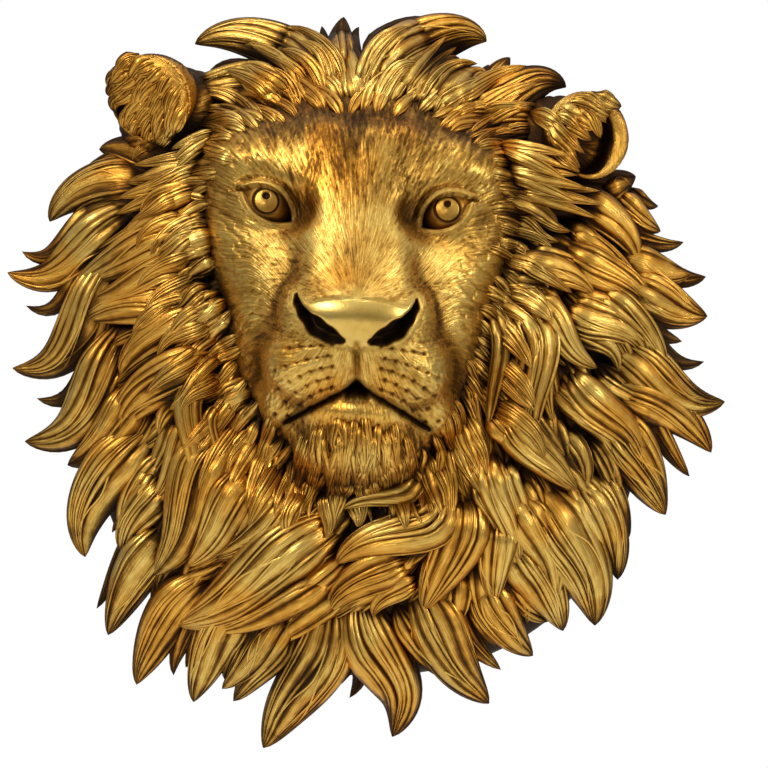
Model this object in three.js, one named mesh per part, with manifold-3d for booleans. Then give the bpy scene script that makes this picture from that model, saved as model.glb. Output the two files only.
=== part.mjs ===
// Lion head wall mask: one brass casting in high relief, hollow and open at the back.
// X runs to the viewer's right, Z runs up, and the lion looks along -Y. The wall is the
// plane Y = 0, so a point's depth is its height above the wall, which is -Y.
import * as THREE from "three";
import { mergeVertices } from "three/addons/utils/BufferGeometryUtils.js";
import Module from "manifold-3d";

// Driving sizes, in millimetres.
const MASK_HEIGHT = 600; // crown to the lowest lock tip
const WALL = 7; // thickness of the casting behind the mane
const RIM_WIDTH = 15; // flat band of the back that lies against the wall

// The carving is laid out on a mask of this height, and follows MASK_HEIGHT as shares of it.
const LAYOUT_HEIGHT = 600;
const SCALE = MASK_HEIGHT / LAYOUT_HEIGHT;
const FACET_TOLERANCE = 0.95; // facets that lie closer than this to one plane are joined

// The mane's bed: a dome on a rounded outline, which the locks lie on.
const BED_HALF_WIDTH = 224;
const BED_HALF_HEIGHT = 240;
const BED_SQUARENESS = 2.3;
const BED_CREST = 112;
const BED_REACH = 1.22; // where the dome meets the level of the lock tips, as a share of the outline
const BED_FALL = 2.2;
const TIP_LEVEL = 13;
const BED_EDGE = 16;
const BED_SEGMENTS = 36;
const BED_STEPS = [0, 0.35, 0.6, 0.78, 0.88, 0.95, 1];

// The skull lifts the locks of the crown above the bed.
const CROWN = { x: -7, z: 150, halfWidth: 125, halfHeight: 125, edge: 20, rise: 100 };

// The face stands on the bed, with its own axes: x across, depth, and v up from the eye line.
const FACE_X = -7;
const FACE_Z = 136;
const FACE_LEAN = 0.045; // how far the right side hangs lower, for each unit across
const RAY_CENTRE = { d: 0, v: -60 };
const RAY_SPREAD = { across: 56, down: -57, up: 62 };
const FACE_COLUMNS = 56;
const FACE_ROWS = 64;

const clamp = (x, low, high) => Math.min(Math.max(x, low), high);
const mix = (a, b, t) => a + (b - a) * t;
const radians = (degrees) => (degrees * Math.PI) / 180;

function smoothstep(low, high, x) {
  const t = clamp((x - low) / (high - low), 0, 1);
  return t * t * (3 - 2 * t);
}

// Joins two distances with a fillet of about k between the two forms.
function smoothMin(a, b, k) {
  const h = Math.max(k - Math.abs(a - b), 0) / k;
  return Math.min(a, b) - (h * h * k) / 4;
}

const smoothMax = (a, b, k) => -smoothMin(-a, -b, k);

// The bed's outline is a rounded square: this is its radius in a clock direction.
function outlineRadius(across, up) {
  const share =
    Math.abs(across / BED_HALF_WIDTH) ** BED_SQUARENESS +
    Math.abs(up / BED_HALF_HEIGHT) ** BED_SQUARENESS;
  return share ** (-1 / BED_SQUARENESS);
}

// Height of the mane above the wall, from the share of the way out to the bed's outline.
function maneHeight(share) {
  const fall = Math.min(share / BED_REACH, 1) ** BED_FALL;
  return TIP_LEVEL + (BED_CREST - TIP_LEVEL) * (1 - fall);
}

// The bed carries the mane, and turns down to the wall at its own outline.
function bedHeight(share) {
  return BED_EDGE + (maneHeight(share) - BED_EDGE) * Math.sqrt(1 - share ** 6);
}

// Depth of the surface that the locks lie on.
function maneDepth(x, z) {
  const r = Math.hypot(x, z);
  const mane = r < 1e-6 ? BED_CREST : maneHeight(r / outlineRadius(x / r, z / r));
  const reach = Math.hypot((x - CROWN.x) / CROWN.halfWidth, (z - CROWN.z) / CROWN.halfHeight);
  const crown = CROWN.edge + CROWN.rise * Math.max(1 - reach ** 2, 0) ** 0.6;
  return smoothMax(mane, crown, 20);
}

// A closed dome turned from a profile of [share, depth] steps and stretched to the outline.
function domeGeometry(profile, inset) {
  const points = profile.map(([share, depth]) => new THREE.Vector2(share, depth));
  const geometry = new THREE.LatheGeometry(points, BED_SEGMENTS);
  const position = geometry.getAttribute("position");
  for (let i = 0; i < position.count; i++) {
    const across = position.getX(i);
    const up = position.getZ(i);
    const share = Math.hypot(across, up);
    const depth = position.getY(i);
    if (share < 1e-6) {
      position.setXYZ(i, 0, -depth, 0);
      continue;
    }
    const reach = outlineRadius(across / share, up / share) * SCALE - inset;
    position.setXYZ(i, across * reach, -depth, up * reach);
  }
  return geometry;
}

function bedGeometry() {
  const profile = BED_STEPS.map((share) => [share, bedHeight(share) * SCALE]);
  profile.push([1, 0], [0, 0]);
  return domeGeometry(profile, 0);
}

// The hollow behind the mane keeps one wall thickness to the bed.
function hollowGeometry() {
  const profile = BED_STEPS.map((share) => [share, bedHeight(share) * SCALE - WALL]);
  const below = -WALL;
  profile.push([1, below], [0, below]);
  return domeGeometry(profile, RIM_WIDTH);
}

// Forms of the head as ellipsoids: centre and radii in x, depth and v, then the fillet
// that joins each to the forms before it. Those off the middle stand on both sides.
const HEAD_FORMS = {
  skull: [[0, 44, 14], [119, 100, 92], 1],
  brow: [[60, 112, 33], [44, 27, 21], 30],
  innerBrow: [[30, 126, 24], [17, 15, 34], 24],
  temple: [[94, 68, 4], [26, 46, 58], 34],
  cheekbone: [[80, 92, -38], [32, 38, 36], 30],
  innerCheek: [[56, 116, -62], [30, 37, 48], 32],
  innerCorner: [[46, 120, 1], [19, 18, 30], 26],
  jowl: [[56, 76, -100], [50, 60, 76], 34],
  muzzleCore: [[0, 122, -106], [56, 67, 50], 26],
  whiskerPad: [[34, 144, -126], [41, 50, 37], 16],
  lipCorner: [[56, 118, -158], [22, 34, 24], 16],
  chin: [[0, 124, -186], [48, 50, 33], 12],
  throat: [[0, 80, -176], [66, 56, 44], 24],
  lowerLip: [[0, 128, -164], [52, 49, 24], 8],
  noseBone: [[35, 139, -24], [14, 14, 14], 16],
};
const MIDLINE = 2.5; // how far from the middle the two sides run into each other
const BRIDGE = {
  top: [130, 34],
  end: [180, -84],
  halfWidth: [33, 49],
  halfDepth: [24, 27],
  power: 2.6,
  fillet: 24,
};
const NOSE_WING = [[46, 168, -84], [13, 24, 17], 12];
const NOSE_PAD = [[0, 186, -88], [34, 28, 20], 9];
const SOCKET = [[68, 158, -5], [31, 26, 16], 16];
const EYE = {
  x: 70.8,
  v: -2.5,
  ballDepth: 116,
  ballRadius: 25,
  lid: 2.5,
  rim: 6,
  rimWidth: 3.5,
  slant: 33,
  halfLength: 22.5,
  upper: 13.5,
  lower: 11,
};

// Carved hollows of the face, as strokes: x, v, radius and the depth of the floor at each turn.
const NOSTRIL = [
  [11.5, -105, 3.5, 166],
  [20, -100, 7.5, 164],
  [31, -91, 9.5, 162],
  [41, -81, 6, 160],
  [47, -74.5, 2.5, 158],
];
const LIPS = [
  [0, -138, 1.6, 166],
  [14, -150, 1.8, 162],
  [34, -163, 2, 153],
  [56, -175, 1.4, 140],
];
const MOUTH = [
  [0, -140, 1.5, 160],
  [0, -146, 7, 158],
];
const PUPIL = [
  [71.5, 3.5, 3.4, 136],
  [71.5, 4, 3.4, 136],
];
const ABOVE_FACE = 260; // a depth that clears every feature of the face
const STROKE_SIDES = 10;
const LID_ARC_STEPS = 8;
const BALL_SEGMENTS = 20;
const BALL_RINGS = 14;

function ellipsoid(x, d, v, [cx, cd, cv], [rx, rd, rv]) {
  const a = Math.hypot((x - cx) / rx, (d - cd) / rd, (v - cv) / rv);
  const b = Math.hypot((x - cx) / rx ** 2, (d - cd) / rd ** 2, (v - cv) / rv ** 2);
  return b < 1e-9 ? -Math.min(rx, rd, rv) : (a * (a - 1)) / b;
}

// The bridge of the nose: a broad bar with a flat top and rounded edges.
function bridge(x, d, v) {
  const [d0, v0] = BRIDGE.top;
  const [d1, v1] = BRIDGE.end;
  const length = Math.hypot(d1 - d0, v1 - v0);
  const along = ((d - d0) * (d1 - d0) + (v - v0) * (v1 - v0)) / length;
  const off = ((d - d0) * (v1 - v0) - (v - v0) * (d1 - d0)) / length;
  const t = clamp(along / length, 0, 1);
  const halfWidth = mix(...BRIDGE.halfWidth, t);
  const halfDepth = mix(...BRIDGE.halfDepth, t);
  const past = along - clamp(along, 0, length);
  const norm =
    (Math.abs(x / halfWidth) ** BRIDGE.power +
      Math.abs(off / halfDepth) ** BRIDGE.power +
      Math.abs(past / halfDepth) ** BRIDGE.power) **
    (1 / BRIDGE.power);
  return (norm - 1) * Math.min(halfWidth, halfDepth);
}

// Signed distance to the head, in the face's own axes.
function headDistance(side, d, v) {
  const x = Math.hypot(side, MIDLINE);
  let form = 1e3;
  for (const [centre, radii, fillet] of Object.values(HEAD_FORMS))
    form = smoothMin(form, ellipsoid(x, d, v, centre, radii), fillet);
  form = smoothMin(form, bridge(x, d, v), BRIDGE.fillet);
  for (const [centre, radii, fillet] of [NOSE_WING, NOSE_PAD])
    form = smoothMin(form, ellipsoid(x, d, v, centre, radii), fillet);
  form = smoothMax(form, -ellipsoid(x, d, v, SOCKET[0], SOCKET[1]), SOCKET[2]);

  const toBall = Math.hypot(x - EYE.x, d - EYE.ballDepth, v - EYE.v) - EYE.ballRadius;
  return smoothMin(form, toBall - EYE.lid, 10);
}

// From the face's own axes to a point of the mask.
function facePoint(x, d, v) {
  return new THREE.Vector3(FACE_X + x, -d, FACE_Z + v - FACE_LEAN * x).multiplyScalar(SCALE);
}

// Walks in along a ray from outside until it meets the head, and gives the length walked to.
function meetHead(across, up) {
  const length = Math.hypot(across, 1, up);
  const outermost = 320;
  const steps = 70;
  const caution = 0.7;
  let reach = outermost;
  for (let i = 0; i < steps; i++) {
    const share = reach / length;
    const d = RAY_CENTRE.d + share;
    reach -= caution * headDistance(across * share, d, RAY_CENTRE.v + up * share);
  }
  return reach;
}

// Rays are set closer together near the middle, where the nose and eyes are.
const crowd = (s) => s * (0.78 + 0.22 * s * s);

function headGeometry() {
  const rays = [];
  for (let row = 0; row <= FACE_ROWS; row++) {
    const s = crowd((2 * row) / FACE_ROWS - 1);
    const elevation = s < 0 ? -s * RAY_SPREAD.down : s * RAY_SPREAD.up;
    for (let column = 0; column <= FACE_COLUMNS; column++) {
      const azimuth = crowd((2 * column) / FACE_COLUMNS - 1) * RAY_SPREAD.across;
      rays.push([Math.tan(radians(azimuth)), Math.tan(radians(elevation))]);
    }
  }
  const stride = FACE_COLUMNS + 1;
  const points = rays.map(([across, up]) => {
    const reach = meetHead(across, up);
    const share = reach / Math.hypot(across, 1, up);
    return facePoint(across * share, RAY_CENTRE.d + share, RAY_CENTRE.v + up * share);
  });
  const faces = [];
  const edge = [];
  for (let row = 0; row < FACE_ROWS; row++)
    for (let column = 0; column < FACE_COLUMNS; column++) {
      const a = row * stride + column;
      faces.push(a, a + 1, a + stride, a + 1, a + stride + 1, a + stride);
    }
  for (let column = 0; column < FACE_COLUMNS; column++) edge.push(column);
  for (let row = 0; row < FACE_ROWS; row++) edge.push(row * stride + FACE_COLUMNS);
  for (let column = FACE_COLUMNS; column > 0; column--) edge.push(FACE_ROWS * stride + column);
  for (let row = FACE_ROWS; row > 0; row--) edge.push(row * stride);
  const centre = points.length;
  points.push(facePoint(0, RAY_CENTRE.d, RAY_CENTRE.v));
  edge.forEach((a, i) => faces.push(edge[(i + 1) % edge.length], a, centre));
  return indexed(points, faces);
}

function indexed(points, faces) {
  return new THREE.BufferGeometry().setFromPoints(points).setIndex(faces);
}

// A closed skin over a row of rings, with both ends drawn to a point.
function loft(rings, start, end) {
  const count = rings[0].length;
  const points = [...rings.flat(), start, end];
  const faces = [];
  const first = points.length - 2;
  const last = points.length - 1;
  for (let i = 0; i < rings.length - 1; i++)
    for (let j = 0; j < count; j++) {
      const a = i * count + j;
      const b = i * count + ((j + 1) % count);
      faces.push(a, b, a + count, b, b + count, a + count);
    }
  const top = (rings.length - 1) * count;
  for (let j = 0; j < count; j++) {
    const next = (j + 1) % count;
    faces.push(next, j, first, top + j, top + next, last);
  }
  return indexed(points, faces);
}

// A space cut into the face under one straight stroke, open to the front.
function strokeSpace(side, start, end) {
  const floor = [];
  const mouth = [];
  for (let i = 0; i < STROKE_SIDES; i++) {
    const angle = (i / STROKE_SIDES) * 2 * Math.PI;
    const [ux, uv] = [Math.cos(angle), Math.sin(angle)];
    const reach = ([x, v, r]) => x * ux + v * uv + r;
    const [x, v, r, depth] = reach(start) > reach(end) ? start : end;
    floor.push(facePoint(side * (x + r * ux), depth, v + r * uv));
    mouth.push(facePoint(side * (x + r * ux), ABOVE_FACE, v + r * uv));
  }
  const middle = (depth) => facePoint(side * start[0], depth, start[1]);
  return loft([floor, mouth], middle(start[3]), middle(ABOVE_FACE));
}

// The almond between the eyelids, two arcs that meet at its corners, drawn out to the front.
function lidSpace(side, grown) {
  const slant = radians(EYE.slant);
  const half = EYE.halfLength + grown;
  const place = (depth, along, up) =>
    facePoint(
      side * (EYE.x + along * Math.cos(slant) - up * Math.sin(slant)),
      depth,
      EYE.v + along * Math.sin(slant) + up * Math.cos(slant),
    );
  const rise = (along, height) => {
    const radius = (half ** 2 + height ** 2) / (2 * height);
    return Math.sqrt(Math.max(radius ** 2 - along ** 2, 0)) - radius + height;
  };
  const floor = [];
  const mouth = [];
  for (let i = 0; i < 2 * LID_ARC_STEPS; i++) {
    const turn = (i / LID_ARC_STEPS) * Math.PI;
    const along = half * Math.cos(turn);
    const up = turn < Math.PI ? rise(along, EYE.upper + grown) : -rise(along, EYE.lower + grown);
    floor.push(place(EYE.ballDepth, along, up));
    mouth.push(place(ABOVE_FACE, along, up));
  }
  return loft([floor, mouth], place(EYE.ballDepth, 0, 0), place(ABOVE_FACE, 0, 0));
}

function ballGeometry(side, radius) {
  const geometry = new THREE.SphereGeometry(radius * SCALE, BALL_SEGMENTS, BALL_RINGS);
  const centre = facePoint(side * EYE.x, EYE.ballDepth, EYE.v);
  return geometry.translate(centre.x, centre.y, centre.z);
}

// The face with its nostrils, lips, eyelids and eyes.
function faceSolid() {
  let face = solid(headGeometry());
  for (const side of [-1, 1]) {
    const lids = solid(ballGeometry(side, EYE.ballRadius + EYE.rim));
    face = face.add(lids.intersect(solid(lidSpace(side, EYE.rimWidth))));
    face = face.subtract(solid(lidSpace(side, 0)));
    face = face.add(solid(ballGeometry(side, EYE.ballRadius)));
    for (const path of [NOSTRIL, LIPS, MOUTH, PUPIL])
      for (let i = 1; i < path.length; i++)
        face = face.subtract(solid(strokeSpace(side, path[i - 1], path[i])));
  }
  return face;
}

// Ears: round cups that open forwards, on a mound of the mane. Place in the face's axes,
// then which way they face.
const EAR_RADIUS = 35;
const EAR_DEPTH = 30;
const EAR_BACK = 48;
const EAR_LIP = 9;
const EARS = {
  left: { x: -166, d: 78, v: 79, turn: -28, tip: 14, mound: [-148, 34, 66] },
  right: { x: 184, d: 76, v: 66, turn: 24, tip: -8, mound: [160, 34, 58] },
};
const MOUND_RADII = [44, 42, 40];

function earGeometry({ x, d, v, turn, tip }) {
  const profile = [];
  const steps = 6;
  const bowl = (radius, depth, i) => {
    const angle = (i / steps) * (Math.PI / 2);
    profile.push(new THREE.Vector2(radius * Math.sin(angle), -depth * Math.cos(angle)));
  };
  for (let i = 0; i <= steps; i++) bowl(EAR_RADIUS, EAR_BACK, i);
  profile.push(new THREE.Vector2(EAR_RADIUS - EAR_LIP / 2, EAR_LIP / 2));
  for (let i = steps - 1; i >= 0; i--) bowl(EAR_RADIUS - EAR_LIP, EAR_DEPTH, i);
  const geometry = new THREE.LatheGeometry(profile, 16);
  geometry.scale(SCALE, SCALE, SCALE);
  geometry.rotateX(Math.PI + radians(tip));
  geometry.rotateZ(radians(turn));
  const centre = facePoint(x, d, v);
  return geometry.translate(centre.x, centre.y, centre.z);
}

function moundGeometry({ mound }) {
  const [rx, rd, rv] = MOUND_RADII;
  const geometry = new THREE.SphereGeometry(SCALE, 14, 10);
  const centre = facePoint(...mound);
  return geometry.scale(rx, rd, rv).translate(centre.x, centre.y, centre.z);
}

// Locks of the mane. Headings are clock degrees: 0 is up, 90 is to the viewer's right.
// Each lock is its root, the heading it leaves on, its tip, the heading it ends on, its
// width and how far it sways to the side on the way.
const LOCK_ROWS = {
  rim: {
    lift: 3,
    locks: [
      [[-17, 240], 350, [-18, 291], 12, 30, 0],
      [[-29, 228], 330, [-138, 269], 240, 46, 0],
      [[-120, 215], 300, [-160, 246], 275, 34, 0],
      [[-157, 172], 280, [-215, 184], 262, 36, 0],
      [[-165, 156], 285, [-255, 126], 205, 44, 0],
      [[-182, 136], 232, [-289, 85], 285, 44, 4],
      [[-190, 104], 212, [-285, 8], 275, 50, 4],
      [[-186, 44], 200, [-275, -51], 268, 52, 4],
      [[-180, 2], 190, [-240, -70], 250, 46, 0],
      [[-168, -40], 232, [-226, -144], 165, 52, 0],
      [[-156, -78], 215, [-196, -140], 185, 38, 0],
      [[-156, -118], 222, [-208, -207], 200, 44, 0],
      [[-118, -156], 232, [-185, -247], 185, 46, 3],
      [[-90, -172], 215, [-139, -261], 180, 44, 3],
      [[-58, -180], 215, [-116, -250], 232, 36, 0],
      [[-32, -172], 190, [-83, -298], 228, 58, -6],
      [[-2, -172], 165, [21, -289], 192, 58, 6],
      [[40, -165], 172, [99, -262], 150, 54, -4],
      [[92, -156], 165, [134, -223], 128, 42, 0],
      [[134, -84], 148, [184, -199], 172, 68, 3],
      [[112, -122], 150, [158, -203], 165, 50, 0],
      [[164, -76], 138, [202, -162], 180, 44, 0],
      [[182, -28], 125, [241, -110], 150, 52, 0],
      [[186, -8], 96, [278, -60], 152, 44, 0],
      [[190, 30], 122, [289, -19], 84, 50, -3],
      [[198, 80], 112, [275, 50], 92, 52, 0],
      [[198, 96], 98, [262, 84], 78, 36, 0],
      [[196, 148], 132, [237, 118], 108, 30, 0],
      [[186, 150], 70, [217, 162], 72, 30, 0],
      [[80, 192], 45, [161, 234], 128, 46, 0],
      [[98, 214], 5, [116, 258], 48, 28, 0],
      [[14, 222], 350, [97, 271], 128, 58, 0],
    ],
  },
  temple: {
    lift: 8,
    locks: [
      [[-104, 200], 312, [-146, 204], 250, 30, 0],
      [[-108, 178], 292, [-172, 178], 250, 34, 0],
      [[-104, 157], 286, [-180, 151], 252, 36, 0],
      [[-60, 214], 322, [-112, 226], 262, 34, 0],
      [[96, 200], 70, [142, 200], 110, 30, 0],
      [[102, 174], 92, [152, 164], 80, 30, 0],
      [[106, 150], 100, [168, 132], 115, 34, 0],
      [[58, 212], 48, [112, 214], 122, 34, 0],
    ],
  },
  middle: {
    lift: 13,
    locks: [
      [[-116, 142], 285, [-205, 108], 262, 38, 0],
      [[-124, 117], 254, [-234, 74], 228, 44, 3],
      [[-124, 78], 282, [-225, 60], 250, 39, 4],
      [[-138, 60], 262, [-229, 45], 238, 38, 0],
      [[-116, 48], 248, [-196, 2], 205, 46.5, 0],
      [[-108, 12], 262, [-198, -44], 196, 52, 0],
      [[-98, -40], 228, [-170, -158], 214, 56, 5],
      [[-54, -84], 222, [-121, -143], 250, 48, 0],
      [[-16, -112], 235, [-151, -198], 238, 68, 5],
      [[-20, -146], 240, [-122, -203], 248, 44, 0],
      [[40, -142], 250, [-29, -188], 196, 42, 0],
      [[72, -92], 150, [46, -185], 195, 52, 0],
      [[106, -104], 178, [103, -180], 170, 38, 0],
      [[112, -86], 142, [152, -176], 162, 44, 3],
      [[156, 16], 150, [221, -84], 168, 42, 5],
      [[150, 64], 118, [226, 13], 150, 38, 4],
      [[176, 72], 118, [241, 5], 158, 36, 0],
      [[152, 108], 118, [233, 53], 128, 38, 3],
      [[160, 146], 112, [218, 92], 168, 36, 0],
      [[58, 206], 40, [95, 236], 178, 38, 0],
      [[-62, 222], 300, [-146, 234], 250, 40, 3],
    ],
  },
  inner: {
    lift: 21,
    locks: [
      [[-112, 112], 262, [-171, 84], 228, 32, 0],
      [[-108, 62], 258, [-150, 26], 215, 33, 0],
      [[-102, 2], 246, [-156, -100], 196, 26, 14],
      [[-84, -72], 218, [-142, -150], 218, 42, 3],
      [[52, -82], 150, [-24, -147], 252, 44, -8],
      [[96, -52], 158, [122, -147], 152, 32, 4],
      [[106, -18], 142, [168, -89], 118, 38, 3],
      [[104, 66], 138, [132, -58], 196, 42, -9],
      [[118, 66], 118, [184, 8], 132, 32, -4],
      [[112, 92], 98, [182, 66], 142, 30, 0],
    ],
  },
};
const LOCK_STATIONS = 5;
const LOCK_SIDES = 4;
const ROOT_SINK = 9; // a lock's root starts this far down in the hair beneath it
const LOCK_PULL = 1.05; // how strongly the headings bend a lock, against its length
const LOCK_RISE = 0.34; // thickness above the spine, for each unit of width
const LOCK_UNDER = 0.3;

// Half the width of a lock along its length: full near the root and drawn out to the tip.
function taper(t) {
  return (0.66 + 0.34 * smoothstep(0, 0.35, t)) * (1 - t ** 2.1) ** 0.86;
}

// A lock's spine in plan: a curve between its two headings, with its sway.
function lockPlan([root, leave, tip, arrive, , sway], t) {
  const pull = LOCK_PULL * Math.hypot(tip[0] - root[0], tip[1] - root[1]);
  const heading = (degrees) => [Math.sin(radians(degrees)), Math.cos(radians(degrees))];
  const h0 = heading(leave);
  const h1 = heading(arrive);
  const a = 2 * t ** 3 - 3 * t ** 2 + 1;
  const b = t ** 3 - 2 * t ** 2 + t;
  const c = t ** 3 - t ** 2;
  const side = Math.atan2(tip[0] - root[0], tip[1] - root[1]) + Math.PI / 2;
  const wave = sway * Math.sin(2 * Math.PI * t);
  return [0, 1].map((k) => {
    const across = k ? Math.cos(side) : Math.sin(side);
    return a * root[k] + b * pull * h0[k] + (1 - a) * tip[k] + c * pull * h1[k] + wave * across;
  });
}

function lockPoint(lock, lift, t) {
  const [x, z] = lockPlan(lock, t);
  const rise = mix(-ROOT_SINK, lift, smoothstep(0, 0.3, t)) * (1 - 0.35 * t * t);
  return new THREE.Vector3(x, -maneDepth(x, z) - rise, z);
}

function lockGeometry(lock, lift) {
  const width = lock[4];
  const rings = [];
  const front = new THREE.Vector3(0, -1, 0);
  for (let i = 0; i < LOCK_STATIONS; i++) {
    const t = i / LOCK_STATIONS;
    const centre = lockPoint(lock, lift, t);
    const along = lockPoint(lock, lift, t + 0.02).sub(lockPoint(lock, lift, Math.max(t - 0.02, 0)));
    const side = along.clone().cross(front).normalize();
    const up = side.clone().cross(along).normalize();
    const half = (width / 2) * taper(t);
    const ring = [];
    for (let j = 0; j < LOCK_SIDES; j++) {
      const angle = (j / LOCK_SIDES) * 2 * Math.PI;
      const rise = Math.sin(angle) * (Math.sin(angle) > 0 ? LOCK_RISE : LOCK_UNDER) * 2 * half;
      ring.push(
        centre
          .clone()
          .addScaledVector(side, Math.cos(angle) * half)
          .addScaledVector(up, rise)
          .multiplyScalar(SCALE),
      );
    }
    rings.push(ring);
  }
  const start = lockPoint(lock, lift, 0).multiplyScalar(SCALE);
  const end = lockPoint(lock, lift, 1).multiplyScalar(SCALE);
  return loft(rings, start, end);
}

const wasm = await Module();
wasm.setup();

// A closed mesh as a solid, turned so that its faces point out.
function solid(geometry) {
  const bare = geometry.clone();
  bare.deleteAttribute("normal");
  bare.deleteAttribute("uv");
  const merged = mergeVertices(bare, 1e-3);
  const vertices = merged.getAttribute("position").array;
  const index = [];
  const source = merged.index.array;
  for (let i = 0; i < source.length; i += 3) {
    const [a, b, c] = source.slice(i, i + 3);
    if (a !== b && b !== c && c !== a) index.push(a, b, c);
  }
  const corner = (i) => new THREE.Vector3().fromArray(vertices, 3 * i);
  let volume = 0;
  for (let i = 0; i < index.length; i += 3)
    volume += corner(index[i]).dot(corner(index[i + 1]).cross(corner(index[i + 2])));
  if (volume < 0) index.reverse();
  const mesh = new wasm.Mesh({
    numProp: 3,
    vertProperties: new Float32Array(vertices),
    triVerts: new Uint32Array(index),
  });
  return new wasm.Manifold(mesh);
}

function geometryOf(body) {
  const { vertProperties, triVerts } = body.getMesh();
  const geometry = new THREE.BufferGeometry();
  geometry.setAttribute("position", new THREE.BufferAttribute(vertProperties, 3));
  geometry.setIndex(new THREE.BufferAttribute(triVerts, 1));
  return geometry.toNonIndexed();
}

function castMask() {
  let mask = solid(bedGeometry()).add(faceSolid());
  for (const ear of Object.values(EARS))
    mask = mask.add(solid(moundGeometry(ear))).add(solid(earGeometry(ear)));
  for (const { lift, locks } of Object.values(LOCK_ROWS))
    for (const lock of locks) mask = mask.add(solid(lockGeometry(lock, lift)));
  mask = mask.subtract(solid(hollowGeometry()));
  const behindWall = new THREE.BoxGeometry(2 * MASK_HEIGHT, MASK_HEIGHT, 2 * MASK_HEIGHT);
  behindWall.translate(0, MASK_HEIGHT / 2, 0);
  mask = mask.subtract(solid(behindWall)).asOriginal().simplify(FACET_TOLERANCE);
  // Where locks close over a pocket between them, the casting is solid.
  return mask.decompose().reduce((a, b) => (a.volume() > b.volume() ? a : b));
}

const brass = new THREE.MeshStandardMaterial({ color: 0xb5872b, roughness: 0.35, metalness: 1 });
const mask = new THREE.Mesh(geometryOf(castMask()), brass);
mask.geometry.computeVertexNormals();
mask.name = "lion_mask";

const group = new THREE.Group();
group.add(mask);

export default group;
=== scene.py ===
"""Lion head wall mask, cast in brass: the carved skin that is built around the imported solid.

Lengths in the carving are in millimetres of the layout, as x to the viewer's right, depth
in front of the wall, and z up. They become metres when a skin is cast.
"""
import math

import bpy
import numpy as np
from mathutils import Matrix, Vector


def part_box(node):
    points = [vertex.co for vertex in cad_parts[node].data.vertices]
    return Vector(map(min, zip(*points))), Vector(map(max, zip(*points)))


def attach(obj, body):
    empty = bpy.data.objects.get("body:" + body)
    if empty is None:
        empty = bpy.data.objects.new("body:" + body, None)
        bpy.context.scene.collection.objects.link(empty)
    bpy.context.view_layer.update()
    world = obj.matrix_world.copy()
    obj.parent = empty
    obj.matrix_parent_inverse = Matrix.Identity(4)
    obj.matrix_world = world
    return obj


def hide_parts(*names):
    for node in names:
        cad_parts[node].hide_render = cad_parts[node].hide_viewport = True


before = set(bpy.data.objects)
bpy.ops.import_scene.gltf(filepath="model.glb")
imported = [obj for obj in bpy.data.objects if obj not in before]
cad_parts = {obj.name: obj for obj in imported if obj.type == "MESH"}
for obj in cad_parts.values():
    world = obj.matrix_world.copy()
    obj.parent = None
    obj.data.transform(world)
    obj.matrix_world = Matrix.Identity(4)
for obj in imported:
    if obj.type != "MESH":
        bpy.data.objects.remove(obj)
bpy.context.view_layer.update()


# The camera stands straight in front of the mask, far off with a long lens. The mask hangs
# over a pale floor, in soft studio light from above and from both sides.
MASK_LOW, MASK_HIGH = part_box("lion_mask")
LAYOUT_HEIGHT = 589.08
MM = (MASK_HIGH[2] - MASK_LOW[2]) / LAYOUT_HEIGHT
PHOTO_PIXELS = 768
PHOTO_PIXEL_MM = 0.8
PHOTO_MOUNT = (366, 378)
CAMERA_DISTANCE = 5.0
FOCUS_DEPTH_MM = 60
SENSOR = 36.0

camera_data = bpy.data.cameras.new("camera")
camera_data.sensor_width = SENSOR
view_width = PHOTO_PIXELS * PHOTO_PIXEL_MM * MM
camera_data.lens = SENSOR * CAMERA_DISTANCE / view_width
camera = bpy.data.objects.new("camera", camera_data)
camera.location = (
    (PHOTO_PIXELS / 2 - PHOTO_MOUNT[0]) * PHOTO_PIXEL_MM * MM,
    -(CAMERA_DISTANCE + FOCUS_DEPTH_MM * MM),
    (PHOTO_MOUNT[1] - PHOTO_PIXELS / 2) * PHOTO_PIXEL_MM * MM,
)
camera.rotation_euler = (math.radians(90), 0, 0)
bpy.context.collection.objects.link(camera)
bpy.context.scene.camera = camera
bpy.context.scene.view_settings.view_transform = "Standard"


def softbox(name, place, size, watts):
    """A soft area light that faces the middle of the mask."""
    data = bpy.data.lights.new(name, "AREA")
    data.shape = "RECTANGLE"
    data.size, data.size_y = size
    data.energy = watts
    lamp = bpy.data.objects.new(name, data)
    lamp.location = place
    lamp.rotation_euler = lamp.location.to_track_quat("Z", "Y").to_euler()
    bpy.context.collection.objects.link(lamp)


softbox("key_light", (-1.5, -1.8, 1.5), (0.9, 0.9), 36.5)
softbox("right_light", (1.8, -1.0, 0.5), (0.3, 1.0), 12)
softbox("top_light", (0.1, -0.4, 2.0), (1.2, 0.4), 12.5)


def colour_ramp(nodes, stops):
    """A colour ramp node, from its places and the colour at each."""
    ramp = nodes.new("ShaderNodeValToRGB")
    elements = ramp.color_ramp.elements
    for element, (place, colour) in zip(elements, (stops[0], stops[-1])):
        element.position = place
        element.color = (*colour, 1)
    for place, colour in stops[1:-1]:
        elements.new(place).color = (*colour, 1)
    return ramp


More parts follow.
